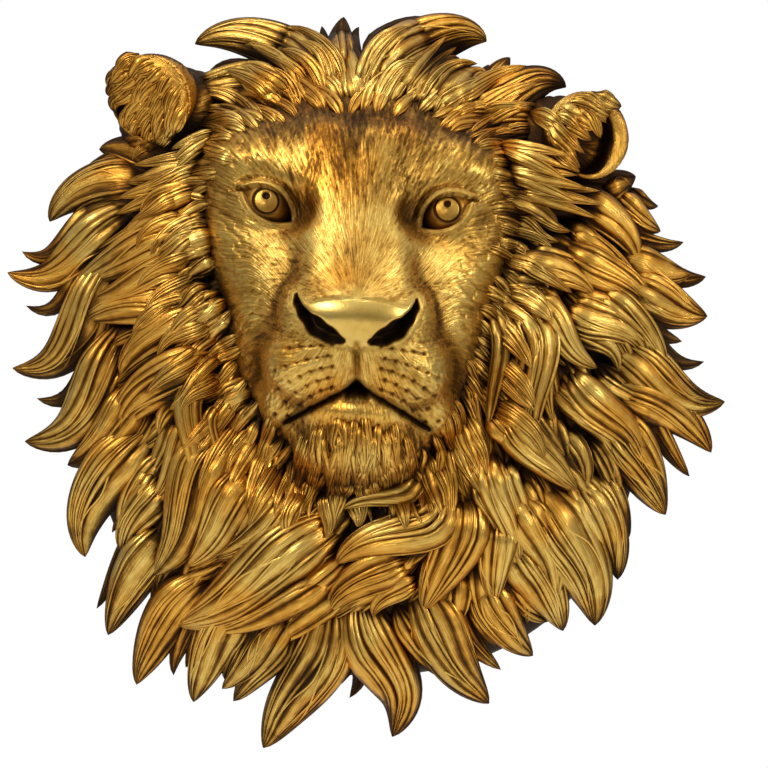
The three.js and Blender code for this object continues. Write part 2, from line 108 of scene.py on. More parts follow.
world = bpy.data.worlds.new("studio")
bpy.context.scene.world = world
world.use_nodes = True
studio = world.node_tree.nodes
studio.clear()
direction = studio.new("ShaderNodeTexCoord")
split = studio.new("ShaderNodeSeparateXYZ")
rescale = studio.new("ShaderNodeMapRange")
rescale.inputs["From Min"].default_value = -1
shade = colour_ramp(studio, ((0.1, [0.015] * 3), (0.5, [0.3] * 3), (0.95, [0.8] * 3)))
reflected = studio.new("ShaderNodeBackground")
seen = studio.new("ShaderNodeBackground")
seen.inputs["Color"].default_value = (1, 1, 1, 1)
light_path = studio.new("ShaderNodeLightPath")
choose = studio.new("ShaderNodeMixShader")
world_output = studio.new("ShaderNodeOutputWorld")
for source, target in (
    (direction.outputs["Generated"], split.inputs[0]),
    (split.outputs["Z"], rescale.inputs["Value"]),
    (rescale.outputs["Result"], shade.inputs["Fac"]),
    (shade.outputs["Color"], reflected.inputs["Color"]),
    (light_path.outputs["Is Camera Ray"], choose.inputs["Fac"]),
    (reflected.outputs[0], choose.inputs[1]),
    (seen.outputs[0], choose.inputs[2]),
    (choose.outputs[0], world_output.inputs["Surface"]),
):
    world.node_tree.links.new(source, target)

FLOOR_RADIUS = 2.0
FLOOR_LEVEL = -0.7
FLOOR_CORNERS = 64
floor_mesh = bpy.data.meshes.new("floor")
turns = [2 * math.pi * i / FLOOR_CORNERS for i in range(FLOOR_CORNERS)]
floor_mesh.from_pydata(
    [(FLOOR_RADIUS * math.cos(a), FLOOR_RADIUS * math.sin(a), FLOOR_LEVEL) for a in turns],
    [],
    [list(range(FLOOR_CORNERS))],
)
floor = bpy.data.objects.new("floor", floor_mesh)
bpy.context.collection.objects.link(floor)
floor_paint = bpy.data.materials.new("pale_floor")
floor_paint.use_nodes = True
floor_shader = floor_paint.node_tree.nodes["Principled BSDF"]
floor_shader.inputs["Base Color"].default_value = (0.8, 0.8, 0.79, 1)
floor_shader.inputs["Roughness"].default_value = 0.9
floor.data.materials.append(floor_paint)


# The bed of the mane: a hollow brass dome about 7 mm thick, cast in one with everything on it.
# Its flat rim lies on the wall. Its back is plain, and its front is combed into strands.
BED_HALF_WIDTH = 224
BED_HALF_HEIGHT = 240
BED_SQUARENESS = 2.3
BED_CREST = 112
BED_REACH = 1.22
BED_FALL = 2.2
BED_EDGE = 16
TIP_LEVEL = 13
WALL = 7
RIM_WIDTH = 15
CROWN = {"x": -7, "z": 150, "half_width": 125, "half_height": 125, "edge": 20, "rise": 100}
CROWN_BLEND = 20
BED_COLUMNS = 225
BED_ROWS = 72
BED_STRANDS = 75
STRAND_RELIEF = 3.2
HOLLOW_ROWS = 26
HOLLOW_WASH = 0.35
HAIR_COVER = 1.5


def smooth_min(a, b, k):
    h = np.maximum(k - np.abs(a - b), 0) / k
    return np.minimum(a, b) - h * h * k / 4


def smooth_max(a, b, k):
    return -smooth_min(-a, -b, k)


def smoothstep(low, high, x):
    t = np.clip((x - low) / (high - low), 0, 1)
    return t * t * (3 - 2 * t)


def outline_radius(across, up):
    share = np.abs(across / BED_HALF_WIDTH) ** BED_SQUARENESS
    share = share + np.abs(up / BED_HALF_HEIGHT) ** BED_SQUARENESS
    return share ** (-1 / BED_SQUARENESS)


def mane_height(share):
    fall = np.minimum(share / BED_REACH, 1) ** BED_FALL
    return TIP_LEVEL + (BED_CREST - TIP_LEVEL) * (1 - fall)


def mane_depth(x, z):
    """Depth of the surface that the locks lie on."""
    r = np.hypot(x, z) + 1e-6
    mane = mane_height(r / outline_radius(x / r, z / r))
    reach = np.hypot((x - CROWN["x"]) / CROWN["half_width"], (z - CROWN["z"]) / CROWN["half_height"])
    crown = CROWN["edge"] + CROWN["rise"] * np.maximum(1 - reach**2, 0) ** 0.6
    return smooth_max(mane, crown, CROWN_BLEND)


def lobes(phase):
    """Round strands side by side, with a sharp groove between them."""
    return np.sqrt(np.maximum(1 - (2 * (phase % 1) - 1) ** 2, 0))


def grid_faces(rows, columns, first=0, closed=True):
    """Quads between rows of points, joined round where the rows are rings."""
    step = np.arange(columns if closed else columns - 1)
    base = first + columns * np.arange(rows - 1)[:, None]
    a = (base + step).ravel()
    b = (base + (step + 1) % columns).ravel()
    return np.column_stack([a, b, b + columns, a + columns])


def fan_faces(ring, centre):
    ring = np.asarray(ring)
    return np.column_stack([ring, np.roll(ring, -1), np.full(len(ring), centre)])


def tube_faces(rows, columns):
    """Faces of a closed tube of rings, whose two end points come after the rings."""
    ring, end = np.arange(columns), rows * columns
    return [
        grid_faces(rows, columns),
        fan_faces(ring[::-1], end),
        fan_faces(end - columns + ring, end + 1),
    ]


def flipped(points):
    """Points with depth in front of the wall turned into y, or y into depth."""
    return np.asarray(points, dtype=float) * np.array([1, -1, 1])


def enclosed(place, faces):
    """Six times the volume that faces of one kind turn round, negative when inside out."""
    total = 0.0
    for k in range(1, faces.shape[1] - 1):
        a, b, c = place[faces[:, 0]], place[faces[:, k]], place[faces[:, k + 1]]
        total += np.einsum("ij,ij->", a, np.cross(b, c))
    return total


def brass_material():
    """Polished brass under a brown wash that was left in the grooves, with painted shade that darkens the
    recesses, both brought in by one attribute.
    """
    material = bpy.data.materials.new("aged_brass")
    material.use_nodes = True
    nodes, links = material.node_tree.nodes, material.node_tree.links
    shader = nodes["Principled BSDF"]
    place = nodes.new("ShaderNodeTexCoord")

    def node(kind, name, values, sources):
        """A node with the values of its sockets and the outputs that lead into them."""
        made = nodes.new(kind)
        made.name = name
        for socket, value in values.items():
            made.inputs[socket].default_value = value
        for socket, source in sources.items():
            links.new(source, made.inputs[socket])
        return made

    def attribute(name, output):
        made = nodes.new("ShaderNodeAttribute")
        made.attribute_name = name
        return made.outputs[output]

    def noise(scale, detail, name, vector=place.outputs["Object"]):
        values = {"Scale": scale, "Detail": detail}
        return node("ShaderNodeTexNoise", name, values, {"Vector": vector}).outputs["Fac"]

    def blend(source, low, high, out_low, out_high, name):
        values = {"From Min": low, "From Max": high, "To Min": out_low, "To Max": out_high}
        return node("ShaderNodeMapRange", name, values, {"Value": source}).outputs["Result"]

    def add(first, second, name):
        made = node("ShaderNodeMath", name, {}, {0: first, 1: second})
        made.operation = "ADD"
        return made.outputs[0]

    def bump(strength, distance, name, sources):
        values = {"Strength": strength, "Distance": distance}
        return node("ShaderNodeBump", name, values, sources).outputs["Normal"]

    hairs = noise(0.85, 2.5, "combed hairs", attribute("comb", "Vector"))
    clouds = blend(noise(22, 4, "cloudy wash"), 0.3, 0.7, -0.12, 0.12, "cloud strength")
    streaks = blend(noise(140, 3, "small wear"), 0.3, 0.7, -0.05, 0.05, "wear strength")
    lines = blend(hairs, 0.3, 0.7, 0.13, -0.10, "line strength")
    # The attribute below holds the patina and the painted shade of the recesses and hollows.
    patina_shade_and_wear = attribute("patina", "Fac")
    for layer, name in ((clouds, "with clouds"), (streaks, "with wear"), (lines, "with lines")):
        patina_shade_and_wear = add(patina_shade_and_wear, layer, name)

    tint = colour_ramp(nodes, (
        (0.0, (0.88, 0.58, 0.16)),
        (0.20, (0.78, 0.485, 0.105)),
        (0.38, (0.54, 0.275, 0.045)),
        (0.56, (0.21, 0.092, 0.014)),
        (0.76, (0.075, 0.032, 0.006)),
        (1.0, (0.035, 0.016, 0.004)),
    ))
    cast_hue = colour_ramp(nodes, ((0.41, (1.0, 0.87, 0.66)), (0.55, (0.94, 1.0, 1.1))))
    patches = noise(14, 1, "redder and paler brass")
    patches = add(patches, attribute("paler", "Fac"), "paler pieces")
    hued = nodes.new("ShaderNodeMix")
    hued.data_type = "RGBA"
    hued.blend_type = "MULTIPLY"
    hued.inputs[0].default_value = 1.0
    grain = bump(0.25, 0.0006, "grain", {"Height": noise(520, 3, "cast grain")})
    for source, target in (
        (patina_shade_and_wear, tint.inputs["Fac"]),
        (patches, cast_hue.inputs["Fac"]),
        (tint.outputs["Color"], hued.inputs[6]),
        (cast_hue.outputs["Color"], hued.inputs[7]),
        (hued.outputs[2], shader.inputs["Base Color"]),
        (blend(patina_shade_and_wear, 0.0, 0.9, 0.24, 0.62, "dull in the grooves"), shader.inputs["Roughness"]),
        (blend(patina_shade_and_wear, 0.5, 1.0, 1.0, 0.85, "crust on the metal"), shader.inputs["Metallic"]),
        (bump(0.8, 0.0009, "chased", {"Height": hairs, "Normal": grain}), shader.inputs["Normal"]),
    ):
        links.new(source, target)
    return material


brass = brass_material()
cast_skins = []


# The groove values say how much brown wash each point takes: patina in real grooves, and painted shade
# where they are set for hollows such as the nostrils, the lid creases, the undersides of the locks and the
# ear cups.
def cast(name, points, faces, groove, comb=None):
    """Casts one closed skin in brass, from points in layout millimetres, and hangs it in place."""
    place = flipped(points) * MM
    way = 1 if sum(enclosed(place, group) for group in faces) > 0 else -1
    loops = np.concatenate([group[:, ::way].ravel() for group in faces]).astype(np.int32)
    totals = np.concatenate([np.full(len(group), group.shape[1]) for group in faces])
    mesh = bpy.data.meshes.new(name)
    mesh.vertices.add(len(place))
    mesh.vertices.foreach_set("co", place.ravel())
    mesh.loops.add(len(loops))
    mesh.loops.foreach_set("vertex_index", loops)
    mesh.polygons.add(len(totals))
    starts = np.concatenate([[0], np.cumsum(totals)[:-1]]).astype(np.int32)
    mesh.polygons.foreach_set("loop_start", starts)
    mesh.polygons.foreach_set("use_smooth", np.ones(len(totals), dtype=bool))
    mesh.update(calc_edges=True)
    mesh.validate()
    mesh.materials.append(brass)
    if comb is not None:
        attribute = mesh.attributes.new("comb", "FLOAT_VECTOR", "POINT")
        attribute.data.foreach_set("vector", np.asarray(comb, dtype=np.float32).ravel())
    piece = bpy.data.objects.new(name, mesh)
    bpy.context.collection.objects.link(piece)
    finish_piece(piece, groove)


def finish_piece(piece, groove):
    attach(piece, "root")
    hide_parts("lion_mask")
    cast_skins.append((piece, groove))


def bed_height(share):
    return BED_EDGE + (mane_height(share) - BED_EDGE) * np.sqrt(1 - share**6)


def clear_of_hollow(points, cover=HAIR_COVER):
    """Brings points forward that would come through the bed into the hollow behind it."""
    r = np.hypot(points[:, 0], points[:, 2]) + 1e-6
    inner = outline_radius(points[:, 0] / r, points[:, 2] / r) - RIM_WIDTH
    share = np.clip(r / inner, 0, 1)
    roof = np.where(r < inner + cover, bed_height(share) - WALL + cover, 0.0)
    points = points.copy()
    points[:, 1] = np.maximum(points[:, 1], roof)
    return points


def mane_bed():
    turn = 2 * np.pi * np.arange(BED_COLUMNS) / BED_COLUMNS
    across, up = np.sin(turn), np.cos(turn)
    reach = outline_radius(across, up)
    rows, grooves = [], []

    def ring(radius, depth, groove):
        depths = np.broadcast_to(depth, turn.shape)
        rows.append(np.column_stack([radius * across, depths, radius * up]))
        grooves.append(np.broadcast_to(groove, turn.shape))

    for share in 1 - (1 - np.linspace(0.06, 1, BED_ROWS)) ** 1.15:
        sway = 0.35 * np.sin(3 * turn + 4 * share) + 0.22 * np.sin(7 * turn - 6 * share + 1)
        strand = lobes(BED_STRANDS * (turn + 0.25 * sway * share) / (2 * np.pi))
        fade = float(smoothstep(0.2, 0.4, share) * (1 - smoothstep(0.985, 1, share)))
        depth = bed_height(share) + STRAND_RELIEF * (strand - 0.7) * fade
        ring(share * reach, depth, (1 - strand) * fade)
    for depth, inset, groove in ((9, 0, 0), (1.5, 0, 0), (0, 1.5, 0), (0, RIM_WIDTH, HOLLOW_WASH)):
        ring(reach - inset, depth, groove)
    for share in 1 - np.linspace(0, 0.94, HOLLOW_ROWS) ** 1.4:
        ring(share * (reach - RIM_WIDTH), bed_height(share) - WALL, HOLLOW_WASH)
    points = np.concatenate(rows + [[[0, BED_CREST, 0], [0, BED_CREST - WALL, 0]]])
    cast("mane_bed", points, tube_faces(len(rows), BED_COLUMNS), np.concatenate(grooves + [[0, 0]]))


mane_bed()


# The face: the middle of the casting, polished smooth on the nose and eyes. Short hairs are
# chased over the rest, back from the nose. It is cast in halves that meet in the middle.
FACE_X = -7
FACE_Z = 136
FACE_LEAN = 0.045
RAY_DEPTH, RAY_V = 0.0, -60.0
FACE_ACROSS = 56
FACE_DOWN, FACE_UP = -57, 62
FACE_COLUMNS = 164
FACE_ROWS = 340
FACE_SEED = 7
FACE_OVERLAP = 4
FACE_COVER = 3.0
ROUGH_STEP = 4
RAY_START = 320.0
COMB_WINDOW = 10
COMB_BATCH = 1500
HEAD_FORMS = {
    "skull": ((0, 44, 14), (119, 100, 92), 1),
    "brow": ((60, 112, 33), (44, 27, 21), 30),
    "inner_brow": ((30, 126, 24), (17, 15, 34), 24),
    "temple": ((94, 68, 4), (26, 46, 58), 34),
    "cheekbone": ((80, 92, -38), (32, 38, 36), 30),
    "inner_cheek": ((56, 116, -62), (30, 37, 48), 32),
    "inner_corner": ((46, 120, 1), (19, 18, 30), 26),
    "jowl": ((56, 76, -100), (50, 60, 76), 34),
    "muzzle_core": ((0, 122, -106), (56, 67, 50), 26),
    "whisker_pad": ((34, 144, -126), (41, 50, 37), 16),
    "lip_corner": ((56, 118, -158), (22, 34, 24), 16),
    "chin": ((0, 124, -186), (48, 50, 33), 12),
    "throat": ((0, 80, -176), (66, 56, 44), 24),
    "lower_lip": ((0, 128, -162), (52, 51, 23), 8),
    "nose_bone": ((35, 139, -24), (14, 14, 14), 16),
    "upper_lip": ((22, 156, -117), (27, 37, 20), 16),
}
BRIDGE = {"top": (130, 34), "end": (180, -84), "half_width": (33, 49), "half_depth": (24, 27)}
BRIDGE_POWER = 2.6
BRIDGE_FILLET = 24
NOSE_WING = ((46, 168, -84), (13, 24, 17), 12)
NOSE_PAD = ((0, 186, -86), (37, 27, 19), 14)
SOCKET = ((68, 158, -5), (31, 26, 16), 16)
EYE = {"x": 70.8, "v": -2.5, "depth": 116, "radius": 25, "lid": 2.5, "rim": 6.0}
LID = {"slant": 33, "half_length": 22.5, "upper": 13.5, "lower": 11.0}
NOSTRIL = (
    (11.5, -105, 3.2), (20, -101, 6.8), (30, -95, 8.0),
    (39, -87.5, 4.8), (45.5, -79, 2.8), (47, -73.5, 1.6),
)
NOSTRIL_DEPTH = 10
NOSTRIL_PLANE = 190
LID_LINE = ((87, 8.5, 1.8), (93, 9.0, 1.3), (100, 7.5, 0.3))
BROW_WRINKLES = (
    ((35, 33, 0.2), (38, 21, 1.2), (41, 9, 0.2)),
    ((28, 38, 0.2), (31, 26, 1.0), (34, 13, 0.2)),
)
LIPS = ((0, -138, 1.2), (9, -147, 1.3), (20, -153, 1.3), (36, -162, 1.5), (57, -174, 1.1))


def ellipsoid(x, d, v, centre, radii):
    px, pd, pv = x - centre[0], d - centre[1], v - centre[2]
    a = np.sqrt((px / radii[0]) ** 2 + (pd / radii[1]) ** 2 + (pv / radii[2]) ** 2)
    b = np.sqrt((px / radii[0] ** 2) ** 2 + (pd / radii[1] ** 2) ** 2 + (pv / radii[2] ** 2) ** 2)
    return a * (a - 1) / np.maximum(b, 1e-6)


def bridge(x, d, v):
    """The bridge of the nose: a broad bar with a flat top and rounded edges."""
    (d0, v0), (d1, v1) = BRIDGE["top"], BRIDGE["end"]
    length = math.hypot(d1 - d0, v1 - v0)
    along = ((d - d0) * (d1 - d0) + (v - v0) * (v1 - v0)) / length
    off = ((d - d0) * (v1 - v0) - (v - v0) * (d1 - d0)) / length
    t = np.clip(along / length, 0, 1)
    half_width = BRIDGE["half_width"][0] + (BRIDGE["half_width"][1] - BRIDGE["half_width"][0]) * t
    half_depth = BRIDGE["half_depth"][0] + (BRIDGE["half_depth"][1] - BRIDGE["half_depth"][0]) * t
    past = along - np.clip(along, 0, length)
    norm = np.abs(x / half_width) ** BRIDGE_POWER + np.abs(off / half_depth) ** BRIDGE_POWER
    norm = (norm + np.abs(past / half_depth) ** BRIDGE_POWER) ** (1 / BRIDGE_POWER)
    return (norm - 1) * np.minimum(half_width, half_depth)


def strokes(x, v, path):
    """Distance in the face's plane to a stroke whose radius changes from turn to turn."""
    best = np.full(np.shape(x), 1e3)
    for a, b in zip(path[:-1], path[1:]):
        dx, dv = b[0] - a[0], b[1] - a[1]
        t = np.clip(((x - a[0]) * dx + (v - a[1]) * dv) / (dx * dx + dv * dv), 0, 1)
        gap = np.hypot(x - a[0] - dx * t, v - a[1] - dv * t) - (a[2] + (b[2] - a[2]) * t)
        best = smooth_min(best, gap, 2.5)
    return best


def nostril_edge(x, d, v):
    """Distance to the edge of a nostril, whose walls run along the rays that draw the face."""
    scale = (NOSTRIL_PLANE - RAY_DEPTH) / np.maximum(d - RAY_DEPTH, 40)
    return strokes(x * scale, RAY_V + (v - RAY_V) * scale, NOSTRIL)


def carve(form, groove, depth, fillet):
    return smooth_max(form, smooth_min(-groove, form + depth, fillet), fillet)


def lid_opening(x, v):
    """Distance in the face's plane to the almond between the lids, two arcs that meet."""
    slant = math.radians(LID["slant"])
    along = (x - EYE["x"]) * math.cos(slant) + (v - EYE["v"]) * math.sin(slant)
    up = -(x - EYE["x"]) * math.sin(slant) + (v - EYE["v"]) * math.cos(slant)
    half, upper, lower = LID["half_length"], LID["upper"], LID["lower"]
    over = (half**2 + upper**2) / (2 * upper)
    under = (half**2 + lower**2) / (2 * lower)
    above = np.hypot(along, up + over - upper) - over
    return np.maximum(above, np.hypot(along, up - under + lower) - under)


def head(side, d, v):
    """Signed distance to the head, in the face's own axes."""
    x = np.sqrt(side**2 + 6.0)
    form = np.full(np.shape(x), 1e3)
    for centre, radii, fillet in HEAD_FORMS.values():
        form = smooth_min(form, ellipsoid(x, d, v, centre, radii), fillet)
    form = smooth_min(form, bridge(x, d, v), BRIDGE_FILLET)
    for centre, radii, fillet in (NOSE_WING, NOSE_PAD):
        form = smooth_min(form, ellipsoid(x, d, v, centre, radii), fillet)
    form = smooth_max(form, -ellipsoid(x, d, v, SOCKET[0], SOCKET[1]), SOCKET[2])
    ball = np.sqrt((x - EYE["x"]) ** 2 + (d - EYE["depth"]) ** 2 + (v - EYE["v"]) ** 2) - EYE["radius"]
    opening = lid_opening(x, v)
    form = smooth_min(form, ball - EYE["lid"], 10)
    fold = np.exp(-(((opening - 6.2) / 1.5) ** 2))
    form = form + 2.2 * fold * smoothstep(-2, 6, v - 0.5 * (x - EYE["x"]))
    form = smooth_min(form, np.maximum(ball - EYE["rim"], opening - 3.5), 2.5)
    form = smooth_max(form, -np.maximum(opening, EYE["depth"] - d), 1.5)
    form = np.minimum(form, ball + 4.5)
    form = form + NOSTRIL_DEPTH * smoothstep(1.0, -5.0, nostril_edge(x, d, v))
    form = form + 2.4 * np.exp(-((side / 2.6) ** 2)) * smoothstep(-138, -131, v) * smoothstep(-106, -114, v)
    form = carve(form, strokes(x, v, LIPS), 8, 2.2)
    form = form + 2.6 * smoothstep(0.8, -0.8, strokes(x, v, LID_LINE))
    for wrinkle in BROW_WRINKLES:
        form = form + 0.9 * smoothstep(2.4, -0.6, strokes(x, v, wrinkle))
    form = form + 2.2 * np.exp(-((side / 4.5) ** 2)) * smoothstep(14, 44, v)
    gape = np.maximum(-152 - v, (v + 136 + 1.7 * x) * 0.5)
    return carve(form, gape, 16, 3)


def meet_head(across, up, reach, steps):
    """Walks in along rays until they meet the head."""
    length = np.sqrt(across**2 + 1 + up**2)
    for _ in range(steps):
        share = reach / length
        reach = reach - 0.7 * head(across * share, RAY_DEPTH + share, RAY_V + up * share)
    return reach


def read_between(table, row, column):
    """The values of a table at places between its entries."""
    row = np.clip(row, 0, table.shape[0] - 1.001)
    column = np.clip(column, 0, table.shape[1] - 1.001)
    r, c = row.astype(int), column.astype(int)
    fr, fc = row - r, column - c
    if table.ndim > 2:
        fr, fc = fr[..., None], fc[..., None]
    near = table[r, c] * (1 - fc) + table[r, c + 1] * fc
    far = table[r + 1, c] * (1 - fc) + table[r + 1, c + 1] * fc
    return near * (1 - fr) + far * fr


def greatest_near(table):
    """The greatest of each entry of a table and the eight round it."""
    rows, columns = table.shape
    padded = np.pad(table, 1, mode="edge")
    return np.max([padded[i : i + rows, j : j + columns] for i in range(3) for j in range(3)], axis=0)


def hung(points):
    """Places in the face's own axes, moved to where the face hangs on the wall."""
    x, d, v = np.moveaxis(np.asarray(points, dtype=float), -1, 0)
    return np.stack([FACE_X + x, d, FACE_Z + v - FACE_LEAN * x], axis=-1)


def face_grid():
    """Points of the bare face in its own axes, as rows upwards of columns to the right."""
    azimuth = np.linspace(0, FACE_ACROSS, FACE_COLUMNS + 1)
    elevation = np.linspace(FACE_DOWN, FACE_UP, FACE_ROWS + 1)
    across, up = np.meshgrid(np.tan(np.radians(azimuth)), np.tan(np.radians(elevation)))
    rough = meet_head(across[::ROUGH_STEP, ::ROUGH_STEP], up[::ROUGH_STEP, ::ROUGH_STEP], RAY_START, 70)
    rows = np.arange(FACE_ROWS + 1)[:, None] / ROUGH_STEP
    columns = np.arange(FACE_COLUMNS + 1)[None, :] / ROUGH_STEP
    reach = meet_head(across, up, read_between(greatest_near(rough), rows, columns) + 1.0, 34)
    share = reach / np.sqrt(across**2 + 1 + up**2)
    half = np.stack([across * share, RAY_DEPTH + share, RAY_V + up * share], axis=-1)
    mirrored = half[:, :0:-1] * np.array([-1, 1, 1])
    return np.concatenate([mirrored, half], axis=1)


def comb_in(points, seeds, headings, length, width, bend):
    """Height from 0 to 1 of short tapering hairs, laid one over another on a grid of points."""
    rows, columns = points.shape[:2]
    down_rows = np.gradient(points, axis=0)
    along_rows = np.gradient(points, axis=1)
    height = np.zeros((rows, columns))
    steps = np.arange(-COMB_WINDOW, COMB_WINDOW + 1)
    for part in np.array_split(np.arange(len(seeds)), max(1, len(seeds) // COMB_BATCH)):
        row, column = seeds[part, 0], seeds[part, 1]
        tr, tc = down_rows[row, column], along_rows[row, column]
        hx, hv = headings[part, 0], headings[part, 1]
        det = tr[:, 0] * tc[:, 2] - tr[:, 2] * tc[:, 0]
        det = np.where(np.abs(det) < 0.02, 0.02, det)
        a = (hx * tc[:, 2] - hv * tc[:, 0]) / det
        b = (hv * tr[:, 0] - hx * tr[:, 2]) / det
        heading = a[:, None] * tr + b[:, None] * tc
        heading /= np.linalg.norm(heading, axis=1, keepdims=True) + 1e-9
        normal = np.cross(tr, tc)
        normal /= np.linalg.norm(normal, axis=1, keepdims=True) + 1e-9
        side = np.cross(normal, heading)
        dr = steps[None, :, None, None]
        dc = steps[None, None, :, None]
        delta = dr * tr[:, None, None, :] + dc * tc[:, None, None, :]
        s = np.einsum("nijk,nk->nij", delta, heading) / length[part, None, None] + 0.5
        w = np.einsum("nijk,nk->nij", delta, side)
        w = w + bend[part, None, None] * ((s - 0.5) ** 2 - 0.1) * length[part, None, None]
        w = np.abs(w) / (0.5 * width[part, None, None] * np.maximum(1 - 0.8 * s, 0.05))
        inside = (s > 0) & (s < 1) & (w < 1)
        hair = np.sqrt(np.maximum(1 - w * w, 0)) * np.clip(s * 3, 0, 1) ** 0.7 * (1 - 0.45 * s)
        near_row = np.clip(row[:, None, None] + steps[:, None], 0, rows - 1)
        near_column = np.clip(column[:, None, None] + steps, 0, columns - 1)
        rr, cc = np.broadcast_arrays(near_row, near_column)
        np.maximum.at(height, (rr[inside], cc[inside]), hair[inside])
    return height


def hair_rise(x, v):
    """How far up the face's hair runs where it runs x across, drooping over the cheeks."""
    return v + 78 - 34 * smoothstep(40, 90, np.abs(x)) * smoothstep(40, -40, v)


def hair_heading(x, v):
    """Unit heading of the face's hair, back from the nose."""
    hx, hv = x * np.where(v < -168, 0.35, 1.0), hair_rise(x, v)
    length = np.hypot(hx, hv) + 1e-6
    return np.stack([hx / length, hv / length], axis=-1)


def face_comb(x, v):
    """Coordinates across and along the face's hair, which spreads out from the nose."""
    hv = hair_rise(x, v)
    return np.stack([70 * np.arctan2(x, hv), 0.07 * np.hypot(x, hv), np.full(x.shape, 5.0)], axis=-1)


def face_fur(points, rng):
    """Heights of the chased hair, in coarse tufts and fine hairs, with bare skin left smooth."""
    x, d, v = points[..., 0], points[..., 1], points[..., 2]
    side = np.abs(x)
    opening = lid_opening(side, v)
    pad = np.maximum(np.maximum(v + 76 + 0.004 * side**2, 0.5 * side - v - 114), side - 46)
    bare = smoothstep(1.5, 6, opening) * smoothstep(0.5, 5, pad)
    bare = bare * smoothstep(0.5, 5, strokes(side, v, NOSTRIL)) * smoothstep(0, 2.5, strokes(side, v, LIPS))
    rows, columns = x.shape
    layers = []
    for count, length, width, spread in ((1500, 26, 8.5, 0.18), (21000, 12.5, 2.5, 0.2)):
        seeds = np.column_stack([rng.integers(2, rows - 2, count), rng.integers(2, columns - 2, count)])
        sx, sv = x[seeds[:, 0], seeds[:, 1]], v[seeds[:, 0], seeds[:, 1]]
        heading = hair_heading(sx, sv)
        turn = rng.normal(0, spread, count) + 0.25 * np.sin(sx / 17 + 2 * np.sin(sv / 23))
        heading = np.column_stack([
            heading[:, 0] * np.cos(turn) - heading[:, 1] * np.sin(turn),
            heading[:, 0] * np.sin(turn) + heading[:, 1] * np.cos(turn),
        ])
        muzzle = smoothstep(-95, -105, sv) * smoothstep(75, 60, np.abs(sx)) * smoothstep(-172, -165, sv)
        grow = 1 - 0.42 * muzzle + 0.35 * smoothstep(60, 100, np.abs(sx)) + 0.5 * smoothstep(-172, -190, sv)
        lengths = length * grow * rng.uniform(0.7, 1.25, count)
        widths = width * rng.uniform(0.75, 1.2, count) * (1 - 0.2 * muzzle)
        layers.append(comb_in(points, seeds, heading, lengths, widths, rng.normal(0, 0.25, count)))
    return layers[0], layers[1], bare


BACKING_SHARES = (0.9, 0.75, 0.6, 0.45, 0.3, 0.15)
WHISKER_ROWS = 5
WHISKER_PITS = 6


def whisker_pits(points):
    """Rows of small pits over the muzzle, where the whiskers stand."""
    side, v = np.abs(points[..., 0]), points[..., 2]
    pits = np.zeros(v.shape)

    def row_height(row, x):
        return -111 - 8.4 * row - 0.10 * (x - 15) - 0.0035 * (x - 15) ** 2 * row

    for row in range(WHISKER_ROWS):
        for k in range(WHISKER_PITS - (row == 0)):
            px = 19 + 3.0 * (row % 2) + 8.6 * k
            off = ((side - px) / 1.9) ** 2 + ((v - row_height(row, px)) / 1.35) ** 2
            pits = np.maximum(pits, np.exp(-off))
        ends = smoothstep(14, 22, side) * smoothstep(70, 56, side)
        pits = np.maximum(pits, 0.45 * np.exp(-(((v - row_height(row, side)) / 0.9) ** 2)) * ends)
    return pits


